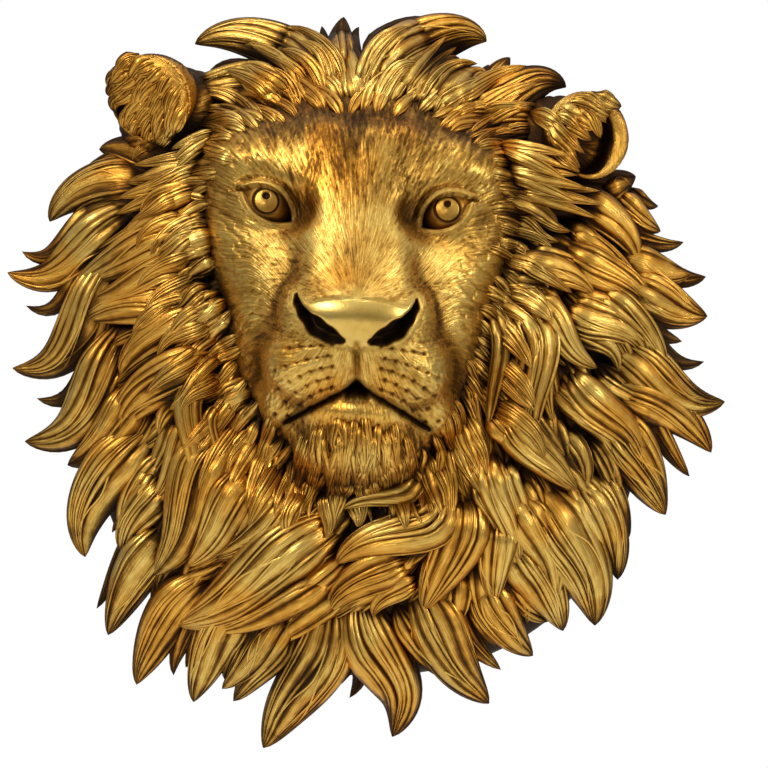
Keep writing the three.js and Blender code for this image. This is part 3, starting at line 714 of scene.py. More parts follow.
def cast_face():
    rng = np.random.default_rng(FACE_SEED)
    points = face_grid()
    tufts, hairs, bare = face_fur(points, rng)
    pits = whisker_pits(points)
    x, v = points[..., 0], points[..., 2]
    side = np.abs(x)
    opening = lid_opening(side, v)
    nostril = nostril_edge(side, points[..., 1], v)
    bare = bare * smoothstep(-1, 5, nostril)
    down_rows, along_rows = np.gradient(points, axis=0), np.gradient(points, axis=1)
    normal = np.cross(along_rows, down_rows)
    normal /= np.linalg.norm(normal, axis=-1, keepdims=True)
    normal *= np.sign(normal[..., 1:2].mean())
    coarse = smoothstep(55, 90, side) * 0.5 + smoothstep(30, 70, v) * 0.5
    coarse = np.clip(coarse + smoothstep(-170, -185, v), 0.12, 1)
    fine = 0.75 * (0.55 + 0.45 * smoothstep(34, 46, side + np.maximum(v - 20, 0)))
    lift = bare * (1.9 * coarse * (tufts - 0.5) + fine * (hairs - 0.55)) - 1.7 * pits
    points = points + normal * lift[..., None]
    rubbed = np.exp(-((side / 30) ** 2)) * smoothstep(-94, -70, v) * smoothstep(12, -24, v)
    rubbed = 1 - 0.55 * np.maximum(rubbed, smoothstep(-104, -116, v) * smoothstep(-176, -160, v))
    groove = rubbed * bare * (0.55 * (1 - hairs) + 0.4 * coarse * (1 - tufts))
    # The whisker pits take patina and painted shade; the crease round the lids, the nostrils and the mouth
    # line are washed dark with painted shade in these hollows.
    groove = np.clip(groove + 0.9 * pits, 0, 1)
    groove = np.maximum(groove, np.exp(-((opening + 0.3) / 1.6) ** 2))
    groove = np.maximum(groove, 1.7 * smoothstep(0.8, -1.6, nostril))
    groove = np.maximum(groove, 0.9 * smoothstep(2.5, -1, strokes(side, v, LIPS)))
    # The wash is heavier over the forehead and the brow, painted shade that dims the light on them, and
    # heavier down the middle of the face above the eyes and on the bridge of the nose.
    groove = groove + 0.15 * smoothstep(16, 30, v) + 0.25 * smoothstep(34, 58, v)
    groove = groove + 0.22 * np.exp(-((side / 22) ** 2)) * smoothstep(-14, 20, v)
    groove = groove + 0.13 * np.exp(-(((side - 50) / 24) ** 2)) * smoothstep(12, 26, v)
    groove = groove + 0.26 * np.exp(-((side / 28) ** 2)) * smoothstep(-76, -58, v) * smoothstep(0, -30, v)

    middle = FACE_COLUMNS
    skin = hung(points)
    combed = face_comb(x, v) * bare[..., None]
    back = hung([0, RAY_DEPTH, RAY_V])
    halves = (("face_left", 0, middle + FACE_OVERLAP), ("face_right", middle - FACE_OVERLAP, 2 * middle))
    for name, first, last in halves:
        part = skin[:, first : last + 1].copy()
        past = np.arange(first, last + 1) - middle
        past = np.maximum(past if name == "face_left" else -past, 0)
        part[..., 1] -= 0.06 * past[None, :] ** 2
        rows, count = part.shape[:2]
        index = np.arange(rows * count).reshape(rows, count)
        ring = np.concatenate([index[0], index[1:, -1], index[-1, -2::-1], index[-2:0:-1, 0]])
        flat = clear_of_hollow(part.reshape(-1, 3), FACE_COVER)
        backing = [back + (flat[ring] - back) * share for share in BACKING_SHARES]
        backing = clear_of_hollow(np.concatenate(backing + [[back]]), FACE_COVER)
        size = len(ring)
        outer = len(flat) + np.arange(size)
        inner = outer + size * (len(BACKING_SHARES) - 1)
        edge_band = np.column_stack([ring, np.roll(ring, -1), np.roll(outer, -1), outer])
        faces = [
            grid_faces(rows, count, closed=False),
            edge_band[:, ::-1],
            grid_faces(len(BACKING_SHARES), size, len(flat))[:, ::-1],
            fan_faces(inner, len(flat) + len(backing) - 1)[:, ::-1],
        ]
        grooves = np.concatenate([groove[:, first : last + 1].ravel(), np.zeros(len(backing))])
        comb = combed[:, first : last + 1].reshape(-1, 3)
        comb = np.concatenate([comb, np.zeros((len(backing), 3))])
        cast(name, np.concatenate([flat, backing]), faces, grooves, comb)
    return skin


face_skin = cast_face()


# The eyes: smooth balls in the same metal, with the iris cut in as a ring and the pupil
# sunk as a pit. Both are washed dark with painted shade, so that the pit always looks dark.
IRIS_RADIUS = 10.6
PUPIL_RADIUS = 2.8
PUPIL_RISE = 4.2
EYE_LOOK = (0.6, 24.8, 3.0)


def cast_eye(name, side):
    look = np.array([side * EYE_LOOK[0], EYE_LOOK[1], EYE_LOOK[2]])
    look /= np.linalg.norm(look)
    right = np.cross(look, [0, 0, 1.0])
    right /= np.linalg.norm(right)
    up = np.cross(right, look)
    inner = np.linspace(0.4, IRIS_RADIUS + 3, 40)
    outer = np.linspace(IRIS_RADIUS + 4, EYE["radius"] * np.pi * 0.85, 16)
    arc = np.concatenate([inner, outer])
    columns = 96
    turn = 2 * np.pi * np.arange(columns) / columns
    fibres = 0.12 * np.sin(31 * turn) + 0.08 * np.sin(47 * turn + 1)
    rows, grooves = [], []
    for a in arc:
        ring = math.exp(-(((a - IRIS_RADIUS) / 1.1) ** 2))
        off = np.hypot(a * np.cos(turn), a * np.sin(turn) - PUPIL_RISE)
        pit = smoothstep(PUPIL_RADIUS + 0.9, PUPIL_RADIUS - 1.2, off)
        iris = float(smoothstep(IRIS_RADIUS, IRIS_RADIUS - 3, a))
        radius = EYE["radius"] + 0.1 - 1.1 * ring - 3.0 * pit - 0.5 * iris
        radius = radius + fibres * iris * (1 - pit)
        angle = a / EYE["radius"]
        out = math.cos(angle) * look[None, :]
        out = out + math.sin(angle) * (np.cos(turn)[:, None] * right + np.sin(turn)[:, None] * up)
        rows.append(out * np.broadcast_to(radius, turn.shape)[:, None])
        white = 0.56 * float(smoothstep(IRIS_RADIUS - 1, IRIS_RADIUS + 1, a))
        # The iris is darker towards its lower edge, painted shade as if lit from above; the iris ring and
        # the pupil pit are washed dark, painted shade in these hollows.
        shaded = 0.26 + 0.2 * smoothstep(2, -9, a * np.sin(turn)) + fibres
        grooves.append(1.1 * ring + 1.3 * pit + shaded * iris + white)
    ends = np.array([look * (EYE["radius"] - 0.4), -look * EYE["radius"]])
    centre = np.array([side * EYE["x"], EYE["depth"], EYE["v"]])
    points = hung(np.concatenate(rows + [ends]) + centre)
    cast(name, points, tube_faces(len(arc), columns), np.concatenate(grooves + [[0.2, 0]]))


cast_eye("eye_left", -1)
cast_eye("eye_right", 1)


# The locks of the mane: heavy curls of hair, cast in one with the bed. Each is a bundle of
# strands that were cut along it with a gouge, and draws out to a point. A lock is its root, the
# clock heading it leaves on, its tip, the heading it ends on, its width and its sway.
LOCK_ROWS = {
    "rim": (3, (
        ((-17, 240), 350, (-18, 291), 12, 30, 0), ((-29, 228), 330, (-138, 269), 240, 46, 0),
        ((-120, 215), 300, (-160, 246), 275, 34, 0), ((-157, 172), 280, (-215, 184), 262, 36, 0),
        ((-165, 156), 285, (-255, 126), 205, 44, 0), ((-182, 136), 232, (-289, 85), 285, 44, 4),
        ((-190, 104), 212, (-285, 8), 275, 50, 4), ((-186, 44), 200, (-275, -51), 268, 52, 4),
        ((-180, 2), 190, (-240, -70), 250, 46, 0), ((-168, -40), 232, (-226, -144), 165, 52, 0),
        ((-156, -78), 215, (-196, -140), 185, 38, 0), ((-156, -118), 222, (-208, -207), 200, 44, 0),
        ((-118, -156), 232, (-185, -247), 185, 46, 3), ((-90, -172), 215, (-139, -261), 180, 44, 3),
        ((-58, -180), 215, (-116, -250), 232, 36, 0), ((-32, -172), 190, (-83, -298), 228, 58, -6),
        ((-2, -172), 165, (21, -289), 192, 58, 6), ((40, -165), 172, (99, -262), 150, 54, -4),
        ((92, -156), 165, (134, -223), 128, 42, 0), ((134, -84), 148, (184, -199), 172, 68, 3),
        ((112, -122), 150, (158, -203), 165, 50, 0), ((164, -76), 138, (202, -162), 180, 44, 0),
        ((182, -28), 125, (241, -110), 150, 52, 0), ((186, -8), 96, (278, -60), 152, 44, 0),
        ((190, 30), 122, (289, -19), 84, 50, -3), ((198, 80), 112, (275, 50), 92, 52, 0),
        ((198, 96), 98, (262, 84), 78, 36, 0), ((196, 148), 132, (237, 118), 108, 30, 0),
        ((186, 150), 70, (217, 162), 72, 30, 0), ((80, 192), 45, (161, 234), 128, 46, 0),
        ((98, 214), 5, (116, 258), 48, 28, 0), ((14, 222), 350, (97, 271), 128, 58, 0),
    )),
    "temple": (8, (
        ((-104, 200), 312, (-146, 204), 250, 30, 0), ((-108, 178), 292, (-172, 178), 250, 34, 0),
        ((-104, 157), 286, (-180, 151), 252, 36, 0), ((-60, 214), 322, (-112, 226), 262, 34, 0),
        ((96, 200), 70, (142, 200), 110, 30, 0), ((102, 174), 92, (152, 164), 80, 30, 0),
        ((106, 150), 100, (168, 132), 115, 34, 0), ((58, 212), 48, (112, 214), 122, 34, 0),
    )),
    "middle": (13, (
        ((-116, 142), 285, (-205, 108), 262, 38, 0), ((-124, 117), 254, (-234, 74), 228, 44, 3),
        ((-124, 78), 282, (-225, 60), 250, 39, 4), ((-138, 60), 262, (-229, 45), 238, 38, 0),
        ((-116, 48), 248, (-196, 2), 205, 46.5, 0), ((-108, 12), 262, (-198, -44), 196, 52, 0),
        ((-98, -40), 228, (-170, -158), 214, 56, 5), ((-54, -84), 222, (-121, -143), 250, 48, 0),
        ((-16, -112), 235, (-151, -198), 238, 68, 5), ((-20, -146), 240, (-122, -203), 248, 44, 0),
        ((40, -142), 250, (-29, -188), 196, 42, 0), ((72, -92), 150, (46, -185), 195, 52, 0),
        ((106, -104), 178, (103, -180), 170, 38, 0), ((112, -86), 142, (152, -176), 162, 44, 3),
        ((156, 16), 150, (221, -84), 168, 42, 5), ((150, 64), 118, (226, 13), 150, 38, 4),
        ((176, 72), 118, (241, 5), 158, 36, 0), ((152, 108), 118, (233, 53), 128, 38, 3),
        ((160, 146), 112, (218, 92), 168, 36, 0), ((58, 206), 40, (95, 236), 178, 38, 0),
        ((-62, 222), 300, (-146, 234), 250, 40, 3),
    )),
    "inner": (21, (
        ((-112, 112), 262, (-171, 84), 228, 32, 0), ((-108, 62), 258, (-150, 26), 215, 33, 0),
        ((-102, 2), 246, (-156, -100), 196, 26, 14), ((-84, -72), 218, (-142, -150), 218, 42, 3),
        ((52, -82), 150, (-24, -147), 252, 44, -8), ((96, -52), 158, (122, -147), 152, 32, 4),
        ((106, -18), 142, (168, -89), 118, 38, 3), ((104, 66), 138, (132, -58), 196, 42, -9),
        ((118, 66), 118, (184, 8), 132, 32, -4), ((112, 92), 98, (182, 66), 142, 30, 0),
    )),
    "crown": (2, (
        ((-4, 212), 356, (-11, 266), 2, 38, 0),
    )),
}
LOCK_PULL = 1.05
LOCK_RISE = 0.34
LOCK_UNDER = 0.3
LOCK_TWIST = 24
ROOT_SINK = 9
SIDE_LOCK_DROP = 4
SIDE_SEED = 21
STRAND_WIDTH = 6.8
STRAND_SPREAD = 0.68
STRAND_DEPTH = 0.95
STRAND_STEPS = (0.0, 0.15, 0.5, 0.85)
LOW_SIDE = (1.0, 0.75, 0.3, -0.3, -0.75)
FRONT = (0, 1.0, 0)


def clock(heading):
    """A unit step in plan, as x and z, along a heading in clock degrees."""
    return np.array([math.sin(math.radians(heading)), math.cos(math.radians(heading))])


def span_and_side(lock):
    """The way from a lock's root to its tip, and a unit step to its side."""
    span = np.subtract(lock[2], lock[0])
    return span, np.array([span[1], -span[0]]) / math.hypot(*span)


def lock_plan(lock, t):
    """A lock's spine in plan, as x and z: a curve between its two headings, with its sway."""
    root, leave, tip, arrive, _, sway = lock
    span, side = span_and_side(lock)
    pull = LOCK_PULL * math.hypot(*span)
    t = np.asarray(t)[:, None]
    a = 2 * t**3 - 3 * t**2 + 1
    b = t**3 - 2 * t**2 + t
    c = t**3 - t**2
    plan = a * np.array(root) + b * pull * clock(leave) + (1 - a) * np.array(tip)
    return plan + c * pull * clock(arrive) + sway * np.sin(2 * np.pi * t) * side


def lying_route(lock, lift, ground, sink, rooted, sag):
    """A lock's route over some ground, sunk at its root, with the lock's width and front."""

    def route(t):
        plan = lock_plan(lock, t)
        rise = -sink + (lift + sink) * smoothstep(0, rooted, t)
        depth = ground(plan[:, 0], plan[:, 1]) + rise * (1 - sag * t * t)
        return np.column_stack([plan[:, 0], depth, plan[:, 1]])

    return route, lock[4], FRONT


def mane_route(lock, lift):
    return lying_route(lock, lift, mane_depth, ROOT_SINK, 0.3, 0.35)


def lock_skin(route, width, rng, stations, strand, front, root):
    """Points, faces, groove and comb of one lock along a route that gives points for shares."""

    def wander(low, high):
        """A wave along the lock, with a pace and a start of its own."""
        return np.sin(2 * np.pi * (rng.uniform(low, high) * t + rng.uniform(0, 1)))
    t = 1 - (1 - np.linspace(0, 0.995, stations)) ** 1.15
    spine = route(t)
    along = route(np.minimum(t + 0.01, 1)) - route(np.maximum(t - 0.01, 0))
    along /= np.linalg.norm(along, axis=1, keepdims=True)
    front = np.array(front)
    side = np.cross(along, front)
    side /= np.linalg.norm(side, axis=1, keepdims=True)
    up = np.cross(side, along)
    up *= np.sign(up @ front)[:, None]
    twist = np.radians(rng.uniform(-LOCK_TWIST, LOCK_TWIST))
    roll = twist * np.sin(np.pi * t * rng.uniform(0.8, 1.4) + rng.uniform(0, 1))
    side, up = (
        side * np.cos(roll)[:, None] + up * np.sin(roll)[:, None],
        up * np.cos(roll)[:, None] - side * np.sin(roll)[:, None],
    )
    taper = (root + (1 - root) * smoothstep(0, 0.35, t)) * (1 - t**2.2) ** 0.72
    half = np.maximum(width / 2 * taper, 0.25)

    count = max(3, round(width / strand))
    cuts = np.concatenate([[0], np.cumsum(np.exp(rng.normal(0, STRAND_SPREAD, count)))])
    cuts = cuts / cuts[-1]
    gaps = np.diff(cuts)
    edges = np.tile(cuts, (stations, 1))
    for k in range(1, count):
        edges[:, k] += 0.36 * min(gaps[k - 1], gaps[k]) * wander(0.3, 0.9)
    ring_u, ring_relief, ring_valley = [], [], []
    for k in range(count):
        gap = edges[:, k + 1] - edges[:, k]
        stand = rng.normal(0, 0.05) + 0.04 * wander(0.5, 1.2)
        skew, edge = rng.uniform(0.6, 1.6), rng.uniform(0.5, 0.95)
        cut = 0.10 * (rng.uniform(0, 1) < 0.3)
        for s in STRAND_STEPS:
            lobe = (1 - (2 * s**skew - 1) ** 2) ** edge
            ring_u.append(2 * (edges[:, k] + s * gap) - 1)
            relief = STRAND_DEPTH * np.sqrt(gap / count) * (lobe - 0.7) + stand * lobe**0.5
            ring_relief.append(relief - cut * (1 - lobe) ** 2)
            ring_valley.append(np.full(stations, 1 - lobe))
    u = np.array(ring_u).T
    relief = np.array(ring_relief).T
    valley = np.array(ring_valley).T
    lean = (rng.uniform(-0.3, 0.3) + 0.2 * np.sin(2 * np.pi * (t + rng.uniform(0, 1))))[:, None]
    crown = np.maximum(1 - np.abs(u + lean * (1 - u * u)) ** 2.4, 0) ** 0.75
    swell = rng.uniform(0.6, 1.1) * u + rng.uniform(0, 1) + 0.5 * t[:, None]
    swell = 0.06 * np.sin(2 * np.pi * swell)
    fade = (smoothstep(0.0, 0.15, t) * (1 - 0.3 * t))[:, None]
    rise = 2 * LOCK_RISE * (0.84 * crown + 0.02) + fade * (relief + swell) * (0.35 + 0.65 * crown)
    low_u = np.array(LOW_SIDE)
    low_drop = -2 * LOCK_UNDER * np.sqrt(1 - low_u**2)
    low_drop[0] = 0
    middle, wide = spine[:, None, :], half[:, None]
    side, up = side[:, None, :], up[:, None, :]
    top = middle + side * (u * wide)[..., None] + up * (rise * wide)[..., None]
    bottom = middle + side * (wide * low_u)[..., None] + up * (wide * low_drop)[..., None]
    rings = np.concatenate([top, bottom], axis=1)
    points = np.concatenate([rings.reshape(-1, 3), spine[:1], route(np.array([1.0]))])
    faces = tube_faces(stations, rings.shape[1])
    # The underside of each lock is washed dark, painted shade under the lock, and so is the point of its
    # root, where it goes into the bed.
    groove_top = valley * smoothstep(0, 0.1, t)[:, None]
    groove = np.concatenate([groove_top, np.full((stations, len(low_u)), 0.8)], axis=1)
    steps = np.linalg.norm(np.diff(spine, axis=0, prepend=spine[:1]), axis=1)
    across = np.concatenate([u, np.tile(low_u, (stations, 1))], axis=1) * width / 2
    down = np.broadcast_to(0.06 * np.cumsum(steps)[:, None], across.shape)
    comb = np.stack([across, down, np.full(across.shape, rng.uniform(0, 90))], axis=-1).reshape(-1, 3)
    comb = np.concatenate([comb, comb[:1], comb[-1:]])
    return points, faces, np.concatenate([groove.ravel(), [1, 0]]), comb


def cast_locks(name, routes, seed, stations, root, strand=STRAND_WIDTH):
    """Casts a row of locks, each from its route, width and front, and returns their top surfaces."""
    rng = np.random.default_rng(seed)
    points, quads, tris, grooves, combs, tops = [], [], [], [], [], []
    base = 0
    for route, width, front in routes:
        place, faces, groove, comb = lock_skin(route, width, rng, stations, strand, front, root)
        place = clear_of_hollow(place)
        tops.append(place[:-2].reshape(stations, -1, 3)[:, : -len(LOW_SIDE)])
        way = 1 if enclosed(flipped(place), faces[0]) > 0 else -1
        quads.append(faces[0][:, ::way] + base)
        tris += [fan[:, ::way] + base for fan in faces[1:]]
        points.append(place)
        grooves.append(groove)
        combs.append(comb)
        base += len(place)
    faces = [np.concatenate(quads), np.concatenate(tris)]
    cast(name, np.concatenate(points), faces, np.concatenate(grooves), np.concatenate(combs))
    return tops


def side_locks(lock, rng):
    """Two slighter locks that part from the sides of a heavy one and end short of its tip."""
    root, leave, tip, arrive, width, sway = lock
    span, side = span_and_side(lock)
    slighter = []
    for sign in (-1, 1):
        shift = sign * width * rng.uniform(0.30, 0.52)
        start = np.array(root) + side * shift * 0.9 + span * rng.uniform(-0.05, 0.18)
        end = np.array(tip) + side * shift * rng.uniform(0.7, 1.5) - span * rng.uniform(0.12, 0.34)
        slighter.append((
            start, leave + sign * rng.uniform(0, 14), end,
            arrive + sign * rng.uniform(4, 26), width * rng.uniform(0.42, 0.6), sway * 0.7,
        ))
    return slighter


side_rng = np.random.default_rng(SIDE_SEED)
lock_tops = []
for order, (row, (lift, locks)) in enumerate(LOCK_ROWS.items()):
    routes = [mane_route(lock, lift) for lock in locks]
    lock_tops += cast_locks(f"locks_{row}", routes, 100 + order, stations=25, root=0.5)
    slighter = [slight for lock in locks for slight in side_locks(lock, side_rng)]
    routes = [mane_route(slight, lift - SIDE_LOCK_DROP) for slight in slighter]
    cast_locks(f"side_locks_{row}", routes, 200 + order, stations=15, root=0.35)


# Stray strands: thin brass hairs that lie along the tops of the locks and wander across
# them, cast with them. Geometry nodes sweep each along its path and draw it out to a point.
STRAYS_A_LOCK = 3
STRAY_SEED = 27
STRAY_RADIUS = 1.25
STRAY_STATIONS = 20
STRAY_SIDES = 6
STRAY_PROUD = 0.5


def strand_tree():
    """Sweeps curves as tapered round hairs. Its inputs are metres and counts."""
    tree = bpy.data.node_groups.new("stray_strands", "GeometryNodeTree")
    for name, way, kind in (
        ("Paths", "INPUT", "NodeSocketGeometry"),
        ("Strand radius", "INPUT", "NodeSocketFloat"),
        ("Stations", "INPUT", "NodeSocketInt"),
        ("Sides", "INPUT", "NodeSocketInt"),
        ("Brass", "INPUT", "NodeSocketMaterial"),
        ("Strands", "OUTPUT", "NodeSocketGeometry"),
    ):
        tree.interface.new_socket(name, in_out=way, socket_type=kind)
    nodes, links = tree.nodes, tree.links
    given, result = nodes.new("NodeGroupInput"), nodes.new("NodeGroupOutput")
    resample = nodes.new("GeometryNodeResampleCurve")
    place = nodes.new("GeometryNodeSplineParameter")
    taper = nodes.new("ShaderNodeFloatCurve")
    points = taper.mapping.curves[0].points
    points[0].location, points[1].location = (0.0, 0.25), (1.0, 0.04)
    for at in ((0.2, 0.9), (0.6, 0.8)):
        points.new(*at)
    taper.mapping.update()
    thickness = nodes.new("ShaderNodeMath")
    thickness.operation = "MULTIPLY"
    set_radius = nodes.new("GeometryNodeSetCurveRadius")
    section = nodes.new("GeometryNodeCurvePrimitiveCircle")
    section.inputs["Radius"].default_value = 1.0
    sweep = nodes.new("GeometryNodeCurveToMesh")
    sweep.inputs["Fill Caps"].default_value = True
    smooth = nodes.new("GeometryNodeSetShadeSmooth")
    realize = nodes.new("GeometryNodeRealizeInstances")
    finish = nodes.new("GeometryNodeSetMaterial")
    for source, target in (
        (given.outputs["Paths"], resample.inputs["Curve"]),
        (given.outputs["Stations"], resample.inputs["Count"]),
        (place.outputs["Factor"], taper.inputs["Value"]),
        (taper.outputs["Value"], thickness.inputs[0]),
        (given.outputs["Strand radius"], thickness.inputs[1]),
        (resample.outputs["Curve"], set_radius.inputs["Curve"]),
        (thickness.outputs[0], set_radius.inputs["Radius"]),
        (set_radius.outputs["Curve"], sweep.inputs["Curve"]),
        (given.outputs["Sides"], section.inputs["Resolution"]),
        (section.outputs["Curve"], sweep.inputs["Profile Curve"]),
        (thickness.outputs[0], sweep.inputs["Scale"]),
        (sweep.outputs["Mesh"], smooth.inputs["Geometry"]),
        (smooth.outputs["Geometry"], realize.inputs["Geometry"]),
        (realize.outputs["Geometry"], finish.inputs["Geometry"]),
        (given.outputs["Brass"], finish.inputs["Material"]),
        (finish.outputs["Geometry"], result.inputs["Strands"]),
    ):
        links.new(source, target)
    return tree


def stray_path(top, rng):
    """A path along a lock's top, from near its root to short of its tip, in layout millimetres."""
    stations, columns = top.shape[:2]
    first, last = rng.uniform(0.06, 0.25), rng.uniform(0.72, 0.95)
    along = np.linspace(first, last, STRAY_STATIONS) * (stations - 1)
    middle, swing = rng.uniform(0.2, 0.8), rng.uniform(-0.16, 0.16)
    across = middle + swing * np.sin(np.linspace(0, rng.uniform(2, 5), STRAY_STATIONS))
    path = read_between(top, along, across * (columns - 1))
    for _ in range(2):
        path[1:-1] = (path[:-2] + 2 * path[1:-1] + path[2:]) / 4
    path[:, 1] += STRAY_PROUD * np.sin(np.linspace(-0.9, math.pi + 0.9, STRAY_STATIONS))
    return path


def cast_strays():
    rng = np.random.default_rng(STRAY_SEED)
    curves = bpy.data.curves.new("stray_paths", "CURVE")
    curves.dimensions = "3D"
    for top in lock_tops:
        for _ in range(STRAYS_A_LOCK):
            path = flipped(stray_path(top, rng)) * MM
            spline = curves.splines.new("POLY")
            spline.points.add(len(path) - 1)
            spline.points.foreach_set("co", np.column_stack([path, np.ones(len(path))]).ravel())
    paths = bpy.data.objects.new("stray_paths", curves)
    bpy.context.collection.objects.link(paths)
    tree = strand_tree()
    swept = paths.modifiers.new("strands", "NODES")
    swept.node_group = tree
    given = {
        "Strand radius": STRAY_RADIUS * MM,
        "Stations": STRAY_STATIONS,
        "Sides": STRAY_SIDES,
        "Brass": brass,
    }
    for socket in tree.interface.items_tree:
        if socket.name in given:
            swept[socket.identifier] = given[socket.name]
    depsgraph = bpy.context.evaluated_depsgraph_get()
    mesh = bpy.data.meshes.new_from_object(paths.evaluated_get(depsgraph), depsgraph=depsgraph)
    paths.modifiers.remove(swept)
    bpy.data.objects.remove(paths)
    bpy.data.curves.remove(curves)
    piece = bpy.data.objects.new("stray_strands", mesh)
    bpy.context.collection.objects.link(piece)
    finish_piece(piece, np.zeros(len(mesh.vertices)))


cast_strays()


# Under the locks: short hair that fills the gaps between them. It lies low on the bed and
# runs the way that the locks nearest to it run.
UNDER_COUNT = 170
UNDER_LENGTH = 58
UNDER_WIDTH = 27
UNDER_SEED = 33


def flow_of_locks():
    """Sample points along all the locks, with the heading of each lock there."""
    places, headings = [], []
    for _, locks in LOCK_ROWS.values():
        for lock in locks:
            t = np.linspace(0.05, 0.8, 6)
            places.append(lock_plan(lock, t))
            step = lock_plan(lock, t + 0.02) - lock_plan(lock, t - 0.02)
            headings.append(step / np.linalg.norm(step, axis=1, keepdims=True))
    return np.concatenate(places), np.concatenate(headings)


def cast_under_locks():
    rng = np.random.default_rng(UNDER_SEED)
    places, headings = flow_of_locks()
    routes = []
    while len(routes) < UNDER_COUNT:
        turn = rng.uniform(0, 2 * math.pi)
        share = math.sqrt(rng.uniform(0.12, 0.86))
        across, up = math.sin(turn), math.cos(turn)
        reach = float(outline_radius(across, up)) * share
        place = np.array([across * reach, up * reach])
        weight = 1 / (np.sum((places - place) ** 2, axis=1) + 120) ** 1.5
        heading = weight @ headings
        bearing = math.degrees(math.atan2(heading[0], heading[1])) + rng.normal(0, 14)
        tip = place + clock(bearing) * (UNDER_LENGTH * rng.uniform(0.75, 1.25))
        out = math.hypot(*tip)
        if out > 0.99 * float(outline_radius(tip[0] / out, tip[1] / out)):
            continue
        bend = rng.uniform(-38, 38)
        width = UNDER_WIDTH * rng.uniform(0.7, 1.2)
        lock = (place, bearing - bend, tip, bearing + bend, width, 0)
        routes.append(mane_route(lock, rng.uniform(-2, 4)))
    cast_locks("under_locks", routes, UNDER_SEED + 1, stations=10, root=0.66)


cast_under_locks()


# The ears: round cups with a thick rolled rim, cast with the mane on a mound of short hair.
# Hair runs over the rim, and rows of tufts fall from it across the opening.
EAR_RADIUS = 35
EAR_BACK = 48
EAR_DEPTH = 30
EAR_ROLL = 6.5
EAR_HAIRS = 66
EAR_COLUMNS = 234
EAR_OPEN = 235
EAR_SEED = 50
MOUND_RADII = (44, 42, 40)
MOUND_COLUMNS, MOUND_ROWS = 112, 30
MOUND_STRANDS = 26
EARS = {
    "ear_left": {
        "x": -166, "d": 78, "v": 79, "turn": -28, "tip": 14, "mound": (-148, 34, 66),
        "rows": ((1.0, 8), (0.78, 9), (0.5, 9), (0.2, 9), (-0.1, 8), (-0.4, 6)), "flow": 226, "spread": 26,
    },
    "ear_right": {
        "x": 184, "d": 76, "v": 66, "turn": 24, "tip": -8, "mound": (160, 34, 58),
        "rows": ((0.98, 10), (0.76, 8)), "flow": 128, "spread": 26,
    },
}


def curl_route(start, crest, end):
    """A route that sets out towards its crest and bends down to its end."""

    def route(t):
        t = np.asarray(t)[:, None]
        return (1 - t) ** 2 * start + 2 * t * (1 - t) * crest + t**2 * end

    return route


def cast_mound(name, mound):
    """A low mound of combed hair that carries an ear."""
    around = 2 * np.pi * np.arange(MOUND_COLUMNS) / MOUND_COLUMNS
    centre = hung(mound)
    rows, grooves, combs = [], [], []
    for a in np.linspace(0.04, math.pi - 0.04, MOUND_ROWS):
        hair = lobes(MOUND_STRANDS * around / (2 * np.pi) + 0.7 * np.sin(4 * around + 3 * a))
        reach = 1 + 0.05 * (hair - 0.7) * math.sin(a)
        level = np.full(MOUND_COLUMNS, math.cos(a))
        unit = np.column_stack([np.cos(around) * math.sin(a), level, np.sin(around) * math.sin(a)])
        place = centre + unit * np.array(MOUND_RADII) * reach[:, None]
        place[:, 1] = np.maximum(place[:, 1], 0.3)
        rows.append(place)
        grooves.append(0.6 * (1 - hair))
        combs.append(np.column_stack([42 * around, np.full((MOUND_COLUMNS, 2), (3.0 * a, 8.0))]))
    ends = centre + np.array([[0, MOUND_RADII[1], 0], [0, -min(MOUND_RADII[1], centre[1] - 0.3), 0]])
    points = clear_of_hollow(np.concatenate(rows + [ends]))
    faces = tube_faces(MOUND_ROWS, MOUND_COLUMNS)
    combs = np.concatenate(combs + [np.full((2, 3), 8.0)])
    cast(name, points, faces, np.concatenate(grooves + [[0, 0]]), combs)


